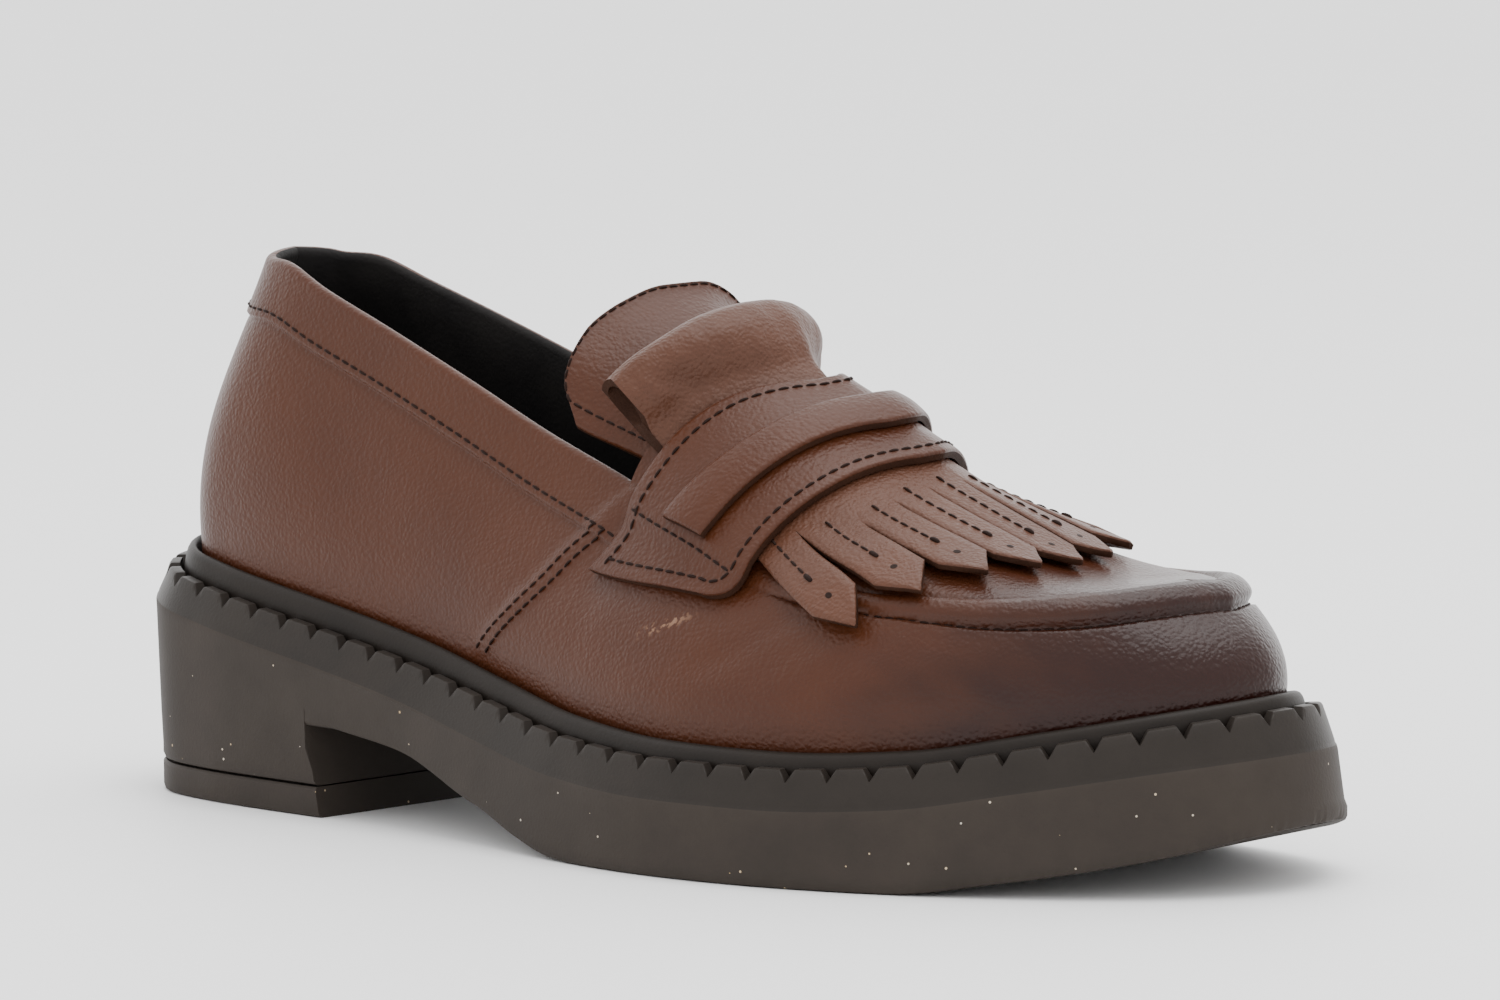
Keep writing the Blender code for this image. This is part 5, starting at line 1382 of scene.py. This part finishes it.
def apron_grids(ring, lining):
    """Rows from the wall's last ring over the apron to the ridge, on both sides."""
    columns = np.arange(throat_column, UPPER_COLUMNS + 1)
    grids = {}
    for side in (OUTER, INNER):
        around = places[side][columns]
        length = np.linalg.norm(ridge(around) - wall_top(side, around), axis=-1)
        rows = [ring[columns if side == OUTER else (ring_size - columns) % ring_size]]
        spots = []
        for distance in (0.0, APRON_DISTANCES[-1]) if lining else APRON_DISTANCES:
            spots.append(np.minimum(distance + 0 * around, 0.6 * length))
        base = spots[-1]
        for share in np.linspace(0, 1, 6 if lining else 18)[1:]:
            spots.append(base + (length - base) * share)
        for number, spot in enumerate(spots):
            if lining:
                points = lifted(apron, side, around, spot / length, -WALL)
            elif spot[0] < 0:
                points = leather_wall(side, around, spot)
            else:
                points = leather_apron(side, around, spot)
            last = number == len(spots) - 1
            if side == OUTER:
                rows.append(skin.add(points))
            elif last:
                rows.append(grids[OUTER][-1])
            else:
                rows.append(np.append(skin.add(points[:-1]), grids[OUTER][len(rows)][-1]))
        skin.sheet(rows)
        grids[side] = rows
    return [row[0] for row in grids[OUTER]] + [row[0] for row in grids[INNER]][-2::-1]


outside = wall_rings(lining=False)
skin.sheet(outside, closed=True)
across_throat = apron_grids(outside[-1], lining=False)
skin.kind = 1
inside = wall_rings(lining=True)
skin.sheet(inside, closed=True)
across_lining = apron_grids(inside[-1], lining=True)
skin.strip(outside[0], inside[0], closed=True)
collar_columns = np.arange(-throat_column, throat_column + 1)


def rim_row(turn):
    """A row of the collar's rim, turned over from the leather to the lining."""
    def line(side, around):
        base = wall_top(side, around)
        upward = base - wall(side, around, 0.97)
        upward /= np.linalg.norm(upward, axis=-1, keepdims=True)
        out = lifted(wall, side, around, 1.0 + 0 * around, 1.0) - base
        return (base + upward * (RIM_RADIUS * math.sin(turn) - RIM_RADIUS)
                + out * (RIM_RADIUS * math.cos(turn) - WALL + RIM_RADIUS))
    return skin.add(round_the_shoe(places, line))[collar_columns]


rim = [outside[-1][collar_columns]] + [rim_row(math.radians(turn)) for turn in (0, 25, 50, 75, 100)]
skin.kind = 0
skin.sheet(rim)
skin.kind = 1
rim_inside = [rim[-1]] + [rim_row(math.radians(turn)) for turn in (125, 150)] + [inside[-1][collar_columns]]
skin.sheet(rim_inside)
skin.face(*[row[0] for row in rim + rim_inside[1:]])
skin.face(*[row[-1] for row in rim + rim_inside[1:]])
# The edge across the throat joins the two sheets; it is hidden under the tongue and the roll.
spread = np.linspace(0, len(across_throat) - 1, len(across_lining)).round().astype(int)
for k in range(len(across_lining) - 1):
    skin.face(*across_throat[spread[k]:spread[k + 1] + 1], across_lining[k + 1], across_lining[k])
used = sorted({corner for face in skin.faces for corner in face})
renumber = {old: new for new, old in enumerate(used)}
skin.points = [skin.points[old] for old in used]
skin.faces = [[renumber[corner] for corner in face] for face in skin.faces]
dress("leather_upper", skin, [upper_leather, lining_black], "upper_leather", "upper", sharp=65)

# %% [markdown]
# ## Tongue and straps
# Straps and tongue are slabs of leather: a top face, an underside, and painted edges. The top face bends
# down near every edge, as leather does where a knife has cut it. A bevel would round the edges as well, but
# it would round the painted side too, so extra rows near each edge carry the bend.

# %% Grids that are dense near their edges
def dense(length, count, near=(0.0, 0.12, 0.35, 0.8)):
    """Shares of a length from 0 to 1, with extra rows close to both ends."""
    start = np.array(near) / length
    middle = np.linspace(start[-1], 1 - start[-1], count)[1:-1]
    return np.concatenate((start, middle, 1 - start[::-1]))


def edge_drop(distance, radius):
    """How far a rounded edge falls below the flat face at a distance from the edge."""
    inward = np.clip(radius - distance, 0, radius)
    return radius - np.sqrt(np.maximum(radius ** 2 - inward ** 2, 0))


print("rows of a slab 30 mm long:", len(dense(30.0, 16)))

# %% Build the tongue
TONGUE_EDGE = 0.7
TONGUE_LENGTH = 60.0        # along its face, with what lies inside the upper
TONGUE_BEND = 50.0          # its top edge is rounded as if its face had this length
rise = dense(TONGUE_LENGTH, 46)[:, None]
across = dense(2 * TONGUE_HALF_WIDTH, 44)[None, :] * 2 - 1
face = tongue_face(rise, across)
outward = tongue_outward(across)
from_edge = np.minimum((1 - rise) * TONGUE_BEND, (1 - np.abs(across)) * TONGUE_HALF_WIDTH * 1.3)
drop = edge_drop(from_edge, TONGUE_EDGE)[..., None]
swell = tongue_swell(rise, across)[..., None]
skin = Skin()
skin.slab(skin.add(face + outward * (swell - drop)), skin.add(face - outward * (TONGUE_THICKNESS - drop / 2)),
          edge_kind=1)
dress("leather_tongue", skin, [upper_leather, edge_paint_and_hollow_shade], "upper_leather", "tongue", sharp=60)

# %% [markdown]
# The saddle strap crosses the instep and ends in a wing with a rounded front corner on each side. A
# narrow band lies on it. The band's upper edge is a soft fold, and its lower edge casts a dark line.

# %% Build the saddle strap
STRAP_EDGE = 0.6
skin = Skin()
inner_reach = SADDLE_REACH - SADDLE_TAPER - SADDLE_CORNER
turn = np.radians(np.linspace(0, 86, 15))
half = np.concatenate((np.linspace(0, inner_reach, 44)[:-1], inner_reach + SADDLE_CORNER * np.sin(turn)))
retreat = np.concatenate((np.zeros(43), SADDLE_CORNER * (1 - np.cos(turn))))
across = np.concatenate((-half[:0:-1], half)) / half[-1]
retreat = np.concatenate((retreat[:0:-1], retreat))
along = dense(SADDLE_WIDTH, 16)[:, None]
distance = across * (SADDLE_REACH - SADDLE_TAPER * along)


def strap_ahead(distance, along, retreat):
    """A line between the saddle's back edge and its front edge, which retreats at the corners."""
    return saddle_line("back", distance) * (1 - along) + along * (saddle_line("front", distance) - retreat)


ahead = strap_ahead(distance, along, retreat)
from_edge = np.minimum(np.minimum(along, 1 - along) * SADDLE_WIDTH * 0.9, (1 - np.abs(across)) * SADDLE_REACH)
drop = edge_drop(from_edge, STRAP_EDGE)
under = saddle_lift(distance)
skin.slab(skin.add(over_instep(ahead, distance, under + SADDLE_THICKNESS - drop)),
          skin.add(over_instep(ahead, distance, under)), edge_kind=1)
dress("leather_saddle", skin, [upper_leather, edge_paint_and_hollow_shade], "upper_leather", "saddle_strap", sharp=60)

# %% Build the band on the saddle
skin = Skin()
distance = SADDLE_BAND_REACH * (dense(2 * SADDLE_BAND_REACH, 70)[None, :] * 2 - 1)
along = dense(SADDLE_BAND_WIDTH, 10, (0.0, 0.15, 0.4, 0.8, 1.3))[:, None]
ahead = saddle_line("band", distance) * (1 - along) + saddle_line("band_front", distance) * along
base = saddle_lift(distance) + SADDLE_THICKNESS
back_round = 1.5 * edge_drop(along * SADDLE_BAND_WIDTH, 1.1)
front_round = edge_drop((1 - along) * SADDLE_BAND_WIDTH, 0.5)
end_round = edge_drop(SADDLE_BAND_REACH - np.abs(distance), 0.6)
top = base + LAYER_GAP + SADDLE_BAND_THICKNESS + 0.5 * np.sin(np.pi * along) - np.maximum(
    np.maximum(back_round, front_round), end_round)
lower = base + LAYER_GAP * fade(along, 0.3, 0.95) + 0.02
skin.slab(skin.add(over_instep(ahead, distance, top)), skin.add(over_instep(ahead, distance, lower)),
          edge_kind=1)
dress("leather_band", skin, [upper_leather, edge_paint_and_hollow_shade], "upper_leather", "saddle_band", sharp=60)

# %% [markdown]
# ## Kiltie
# One sheet starts under the saddle and is slit into nine tabs that end in points. On the real shoe a knife
# cuts the slits. A boolean could do the same, but the cut edges would have to be found again to be rounded
# and painted. So columns of points are shared as far as the slits start, and after that each tab has its own.

# %% Build the fringe
TAB_SPOTS = (-1.0, -0.9, -0.6, 0.0, 0.6, 0.9, 1.0)
TAB_EDGE = 0.35


def tab_tip(number):
    """Where a tab's tip lies: ahead of the throat, and across."""
    return TAB_REACH - TAB_SWEEP * (2 * number / (TABS - 1)) ** 2, TAB_TIP_PITCH * number


def tab_point(number, side, share):
    """Place and lift of a tab: side is -1 to 1 across it, share runs from the slit to its corners."""
    start = slit_start(number + side / 2)
    root = TAB_ROOT_PITCH * (number + side / 2)
    tip_ahead, tip_across = tab_tip(number)
    turn = -TAB_TURN * number
    half = side * (TAB_TIP_PITCH - TAB_SLIT) / 2
    corner_ahead = tip_ahead - TAB_POINT * math.cos(turn) + half * math.sin(turn)
    corner_across = tip_across + TAB_POINT * math.sin(turn) + half * math.cos(turn)
    rising = fade(share, -0.25, 0.8)
    lift = LAYER_GAP + (tab_lift(number) - LAYER_GAP) * rising
    return start + (corner_ahead - start) * share, root + (corner_across - root) * share, lift


def pointed_end(number, side, share):
    """The last part of a tab, where it narrows to its point: share runs from the corners to the tip."""
    corner_ahead, corner_across, lift = tab_point(number, side, 1.0)
    tip_ahead, tip_across = tab_tip(number)
    tip_across += 0.25 * side
    return (corner_ahead + (tip_ahead - corner_ahead) * share,
            corner_across + (tip_across - corner_across) * share, lift)


numbers = np.arange(TABS) - (TABS - 1) / 2
fractions = np.array(TAB_SPOTS)
slit_numbers = np.concatenate([number + fractions[:-1] / 2 for number in numbers] + [[TABS / 2]])
skin = Skin()
layers = {}
for layer in ("top", "bottom"):
    extra = KILTIE_THICKNESS if layer == "top" else 0.0
    across = TAB_ROOT_PITCH * slit_numbers
    back_edge = saddle_line("back", across) + TUCK + FRINGE_FROM_ROLL
    ends = slit_start(slit_numbers)
    rows = [skin.add(over_instep(back_edge + (ends - back_edge) * share, across, LAYER_GAP + extra))
            for share in np.linspace(0, 1, 12)]
    skin.sheet(rows)
    tabs = []
    for index, number in enumerate(numbers):
        first = index * (len(fractions) - 1)
        grid = [rows[-1][first:first + len(fractions)]]
        for share in np.concatenate((np.linspace(0, 1, 13)[1:], 1 + np.array((0.12, 0.4, 0.7, 0.93, 1.0)))):
            point = tab_point if share <= 1 else pointed_end
            places_here = [point(number, side, share if share <= 1 else share - 1) for side in fractions]
            ahead, side_way, lift = (np.array(values) for values in zip(*places_here))
            fall = edge_drop((1 - np.abs(fractions)) * 5.0, TAB_EDGE) * fade(share, 0.02, 0.15)
            fall = np.maximum(fall, edge_drop(max(2.0 - share, 0) * TAB_POINT, TAB_EDGE))
            rounded = -fall if layer == "top" else 0.3 * fall
            grid.append(skin.add(over_instep(ahead, side_way, lift + extra + rounded)))
        skin.sheet(grid)
        tabs.append(grid)
    layers[layer] = (rows, tabs)
skin.kind = 1
(top_rows, top_tabs), (bottom_rows, bottom_tabs) = layers["top"], layers["bottom"]
skin.strip(top_rows[0], bottom_rows[0])
for end in (0, -1):
    skin.strip([row[end] for row in top_rows], [row[end] for row in bottom_rows])
for top_grid, bottom_grid in zip(top_tabs, bottom_tabs):
    for end in (0, -1):
        skin.strip([row[end] for row in top_grid], [row[end] for row in bottom_grid])
    skin.strip(top_grid[-1], bottom_grid[-1])
dress("leather_fringe", skin, [kiltie_leather, edge_paint_and_hollow_shade], "upper_leather", "kiltie_fringe", sharp=60)

# %% [markdown]
# Behind the saddle the kiltie folds back over itself. Its section is a flat hollow roll: both skins are
# closed curves through a few points, and soft wrinkles run from the stitched edge to the fold. The inner skin
# takes the dark edge paint, which paints the shade inside the hollow; the two cut ends are real painted
# edges.

# %% Build the roll of the kiltie
ROLL_STEPS = 90
FOOT_POINTS = ((-0.12, 0.02), (-0.1, 0.21), (0.03, 0.22))
across = np.linspace(-1, 1, ROLL_STEPS + 1)
distance = ROLL_HALF_WIDTH * across
root, fold = roll_frame(across)
roll_along = fold - root
sideways = np.gradient((root + fold) / 2, axis=0)
roll_up = np.cross(roll_along, sideways)
outward = over_instep(saddle_line("back", distance) - ROLL_FROM_SADDLE, distance, 1.0) - root
facing = np.sign(np.sum(roll_up * outward, axis=-1, keepdims=True))
roll_up *= facing / np.linalg.norm(roll_up, axis=-1, keepdims=True)


def roll_section(points, wrinkled):
    """Rows of the roll. Its upper skin ends a little further in, which opens the hollow to view."""
    rows = []
    for share, height in points:
        ends_in = 0.1 * np.clip((height + 0.12) / 0.6, -0.5, 1.0)
        place = across - np.sign(across) * ends_in * fade(np.abs(across), 0.62, 1.0)
        here, run, rise = (np.stack([np.interp(place, across, values[:, axis]) for axis in range(3)], axis=-1)
                           for values in (root, roll_along, roll_up))
        wave = (0.45 * np.sin(9.0 * across + 6.0 * share) + 0.3 * np.sin(21.0 * across - 4.0 * share + 1.0)
                + 0.15 * np.sin(47.0 * across + 3.0 * share))
        top = max(0.0, math.sin(math.pi * min(max(share, 0), 1))) * (height > 0)
        from_valley = across + 0.8 - 0.35 * (1 - share)
        valley = -2.0 * np.exp(-(from_valley / 0.1) ** 2 - ((share - 0.45) / 0.22) ** 2)
        lower = (0.9 - 0.35 * fade(across, 0.35, 1.0)) if height > 0 else 1.0
        lift = ROLL_THICKNESS * height * lower + wrinkled * (wave + valley) * top
        rows.append(here + run * share + rise * np.broadcast_to(lift, across.shape)[:, None])
    return rows


outer_curve = catmull_rom(FOOT_POINTS + ROLL_OUTSIDE, 5)
inner_curve = catmull_rom(ROLL_INSIDE, 6)
skin = Skin()
outer_rings = [skin.add(row) for row in roll_section(outer_curve, 0.5)]
skin.sheet(outer_rings + outer_rings[:1])
# Inner skin of the hollow: dark edge paint, as painted shade inside the roll.
skin.kind = 1
inner_rings = [skin.add(row) for row in roll_section(inner_curve, 0.0)]
skin.sheet(inner_rings + inner_rings[:1])
for end in (0, -1):
    ring = [row[end] for row in outer_rings]
    hole = [row[end] for row in inner_rings]
    # Each outer point joins the nearest inner one by angle round the hollow's middle.
    middle = np.mean(inner_curve, axis=0)
    outer_turn = np.unwrap(np.arctan2(*(outer_curve - middle).T[::-1]))
    inner_turn = np.unwrap(np.arctan2(*(inner_curve - middle).T[::-1]))
    shift = round((outer_turn[0] - inner_turn[0]) / math.tau) * math.tau
    total = len(hole)
    once_more = math.copysign(math.tau, inner_turn[-1] - inner_turn[0])
    turns = np.concatenate((inner_turn + shift, inner_turn + shift + once_more))
    partner = [int(np.argmin(np.abs(turns - value))) for value in outer_turn]
    partner.append(partner[0] + total)
    partner = np.maximum.accumulate(partner)
    for k in range(len(ring)):
        between = [hole[i % total] for i in range(partner[k], partner[k + 1] + 1)]
        skin.face(ring[k], ring[(k + 1) % len(ring)], *between[::-1])
dress("leather_roll", skin, [kiltie_leather, edge_paint_and_hollow_shade], "upper_leather", "kiltie_roll", sharp=60)

# %% [markdown]
# ## Stitching
# Every seam is sewn with the same thread. The stitches are real shapes, laid along lines on the leather.
# Rows of one strap are joined into one object.

# %% Sew the collar, the vamp and the apron
COLLAR_ROW_INSET = 1.7      # from the lower edge of the collar band
VAMP_ROWS = (1.6, 4.4)      # from the edge of the vamp
skin = Skin()


def wall_line(side, around, distance):
    """A line on the dressed wall with its normals, for stitches."""
    line = leather_wall(side, around, distance)
    return line, leather_wall(side, around, distance, 1.0) - line


for side in (OUTER, INNER):
    around = np.linspace(0.0, THROAT + 0.005, 160)
    stitch_line(skin, *wall_line(side, around, -COLLAR_BAND + COLLAR_ROW_INSET), pitch=2.6, thickness=0.27)
    around = np.linspace(0.635, 1.0, 160)
    stitch_line(skin, *wall_line(side, around, -6.1 * seam_width(around)), pitch=2.4, thickness=0.27)
    up = np.linspace(0.05, 0.77, 40)
    for ahead in VAMP_ROWS:
        around = smooth(VAMP_EDGE, "around", up, "up") + ahead / EDGE[side][3]
        down = (up - 1) * wall_height(side, around)
        stitch_line(skin, *wall_line(side, around, down), pitch=2.3, thickness=0.26)
dress("upper_stitches", skin, [thread_and_hole_shade], "upper_leather", sharp=180)

# %% [markdown]
# One row follows the tongue's edge, up one side, along the top and down the other.

# %% Sew the tongue
SEWN_TO, SEWN_ACROSS = 0.945, 0.9
skin = Skin()
side_rise = np.linspace(0.3, SEWN_TO, 50)
top_across = np.linspace(-SEWN_ACROSS, SEWN_ACROSS, 60)[1:-1]
rise = np.concatenate((side_rise, np.full(len(top_across), SEWN_TO), side_rise[::-1]))
across = np.concatenate((np.full(50, -SEWN_ACROSS), top_across, np.full(50, SEWN_ACROSS)))
normals = tongue_outward(across)
line = tongue_face(rise, across) + normals * tongue_swell(rise, across)[:, None]
stitch_line(skin, line, normals, pitch=2.5, thickness=0.26)
dress("tongue_stitches", skin, [thread_and_hole_shade], "upper_leather", sharp=180)

# %% [markdown]
# The saddle has a row along each long edge. The front row turns round the corner of each wing and runs
# back along its end. A short row across each wing holds it to the vamp.

# %% Sew the saddle and its wings
INSET = 2.5
WING_LINE = 42.0
skin = Skin()


def strap_lift(distance):
    """Height of the saddle's face above the upper."""
    return saddle_lift(distance) + SADDLE_THICKNESS


reach = np.linspace(-SADDLE_REACH + INSET, SADDLE_REACH - INSET, 220)
back_line = saddle_line("back", reach) + INSET
stitch_line(skin, *instep_line(back_line, reach, strap_lift(reach)), pitch=2.7, thickness=0.3)
for side in (-1, 1):
    corner_reach = SADDLE_REACH - SADDLE_TAPER - SADDLE_CORNER
    turns = np.linspace(0, math.pi / 2, 16)
    radius = SADDLE_CORNER - INSET
    corner_across = corner_reach + radius * np.sin(turns)
    corner_ahead = saddle_line("front", corner_across) - SADDLE_CORNER + radius * np.cos(turns)
    share = np.linspace(0, 1, 20)[1:]
    end_across = corner_across[-1] + share * (SADDLE_TAPER - 1.6)
    back_corner = saddle_line("back", SADDLE_REACH - INSET) + INSET
    end_ahead = corner_ahead[-1] + share * (back_corner - corner_ahead[-1])
    across = side * np.concatenate((corner_across, end_across))
    ahead = np.concatenate((corner_ahead, end_ahead))
    stitch_line(skin, *instep_line(ahead, across, strap_lift(across)), pitch=2.7, thickness=0.3)
front = np.linspace(-corner_reach, corner_reach, 160)
stitch_line(skin, *instep_line(saddle_line("front", front) - INSET, front, strap_lift(front)), pitch=2.7,
            thickness=0.3)
for side in (-1, 1):
    across = side * np.linspace(WING_LINE, WING_LINE + 1.2, 24)
    ahead = np.linspace(saddle_line("back", WING_LINE) + 1.2, saddle_line("front", WING_LINE) - 3.2, 24)
    stitch_line(skin, *instep_line(ahead, across, strap_lift(across)), pitch=2.5, thickness=0.27)
dress("saddle_stitches", skin, [thread_and_hole_shade], "upper_leather", sharp=180)

# %% [markdown]
# Each tab has a stitched line along its middle that ends in a thicker bar, and a small punched hole near the
# point. The hole is not cut: a small dark disc in the thread's finish sits on the tab there, as painted shade
# of the hole.

# %% Sew the tabs and paint the shade of their holes as dark discs
BAR_FROM_TIP = 12.5
HOLE_FROM_TIP = 7.4
HOLE_SHADE_SECTION = ((0.62, -0.3), (0.62, 0.02), (0.45, 0.06), (0.2, 0.03))
skin = Skin()
# Dark discs for the holes: painted shade, not cut holes.
hole_shade_discs = Skin()
for number in numbers:
    start = slit_start(number)
    length = tab_tip(number)[0] - TAB_POINT - start
    bar = length + TAB_POINT - BAR_FROM_TIP
    for begin, finish, thick in ((-1.5, bar - 1.4, 0.26), (bar - 1.5, bar + 1.2, 0.5)):
        share = np.linspace(begin, finish, 24) / length
        ahead, across, lift = tab_point(number, 0.0, share)
        stitch_line(skin, *instep_line(ahead, across, lift + KILTIE_THICKNESS), pitch=2.7, thickness=thick)
    share = 1 + (TAB_POINT - HOLE_FROM_TIP) / length
    ahead, across, lift = tab_point(number, 0.0, share)
    turns = np.linspace(0, math.tau, 17)[:-1]
    rings = []
    for radius, height in HOLE_SHADE_SECTION:
        rings.append(hole_shade_discs.add(over_instep(ahead + radius * np.cos(turns), across + radius * np.sin(turns),
                                           lift + KILTIE_THICKNESS + height)))
    hole_shade_discs.sheet(rings, closed=True)
    hole_shade_discs.face(*rings[0])
    hole_shade_discs.face(*rings[-1])
dress("tab_stitches", skin, [thread_and_hole_shade], "upper_leather", sharp=180)
dress("tab_hole_shade_discs", hole_shade_discs, [thread_and_hole_shade], "upper_leather", sharp=60)

# %% [markdown]
# The insole stays as the frame has it, and takes the lining's finish. It is seen only through the collar,
# where a black sock covers it.

# %% Finish the insole
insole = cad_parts["insole"]
insole.data.materials.clear()
insole.data.materials.append(lining_black)
print("insole finished")

# %% [markdown]
# ## Floor and light
# The shoe stands on a pale floor in a white studio. Lamps at the heel and the toe would draw a border on the
# floor. So the room itself glows, brighter behind the shoe, as a lit paper background does, and one broad
# soft lamp hangs over it. The highlights on the leather are reflections of that room.

# %% Build the studio
floor_finish, wiring, shader = new_finish("pale_floor", 0.6)
tint = place_group(wiring, cloud_group, Colour=(0.9, 0.9, 0.9), Second=(0.88, 0.88, 0.885), Scale=3.0,
                   Amount=0.5)
wiring.link(tint.outputs[0], shader.inputs["Base Color"])
floor_data = bpy.data.meshes.new("floor")
FLOOR_HALF = 12.0
floor_corners = [(x * FLOOR_HALF, y * FLOOR_HALF, 0) for x, y in ((-1, -1), (1, -1), (1, 1), (-1, 1))]
floor_data.from_pydata(floor_corners, [], [(0, 1, 2, 3)])
floor_data.materials.append(floor_finish)
floor = bpy.data.objects.new("floor", floor_data)
bpy.context.collection.objects.link(floor)
print("floor", 2 * FLOOR_HALF, "m wide")

# %% [markdown]
# The room's glow is stronger in the direction behind the shoe, and it changes slowly, so that no border
# shows in the reflections.

# %% Light the room
WORLD_FRONT, WORLD_BEHIND = 1.7, 2.8
world = bpy.data.worlds.new("studio")
world.use_nodes = True
wiring = Wiring(world.node_tree)
behind = wiring.node("ShaderNodeVectorMath", operation="DOT_PRODUCT")
behind.inputs[1].default_value = (-right.y * 0.95, right.x * 0.95, 0.3)
wiring.link(wiring.node("ShaderNodeTexCoord").outputs["Generated"], behind.inputs[0])
glow = wiring.node("ShaderNodeMapRange", interpolation_type="SMOOTHERSTEP", From_Min=0.35, From_Max=0.85,
                   To_Min=WORLD_FRONT, To_Max=WORLD_BEHIND)
wiring.link(behind.outputs["Value"], glow.inputs["Value"])
sky = world.node_tree.nodes["Background"]
sky.inputs["Color"].default_value = (1.0, 1.0, 1.0, 1.0)
wiring.link(glow.outputs["Result"], sky.inputs["Strength"])
bpy.context.scene.world = world


def soft_lamp(name, azimuth, elevation, distance, width, height, watts):
    """An area lamp that looks at the middle of the shoe from an angle."""
    turn, climb = math.radians(azimuth), math.radians(elevation)
    direction = Vector((math.sin(turn) * math.cos(climb), -math.cos(turn) * math.cos(climb), math.sin(climb)))
    data = bpy.data.lights.new(name, "AREA")
    data.shape = "RECTANGLE"
    data.size, data.size_y = width, height
    data.energy = watts
    lamp = bpy.data.objects.new(name, data)
    lamp.location = AIM + direction * distance
    lamp.rotation_euler = direction.to_track_quat("Z", "Y").to_euler()
    bpy.context.collection.objects.link(lamp)
    print(name, "at", [round(value, 2) for value in lamp.location])


soft_lamp("top_lamp", azimuth=110.0, elevation=78.0, distance=1.4, width=1.1, height=1.1, watts=15.0)
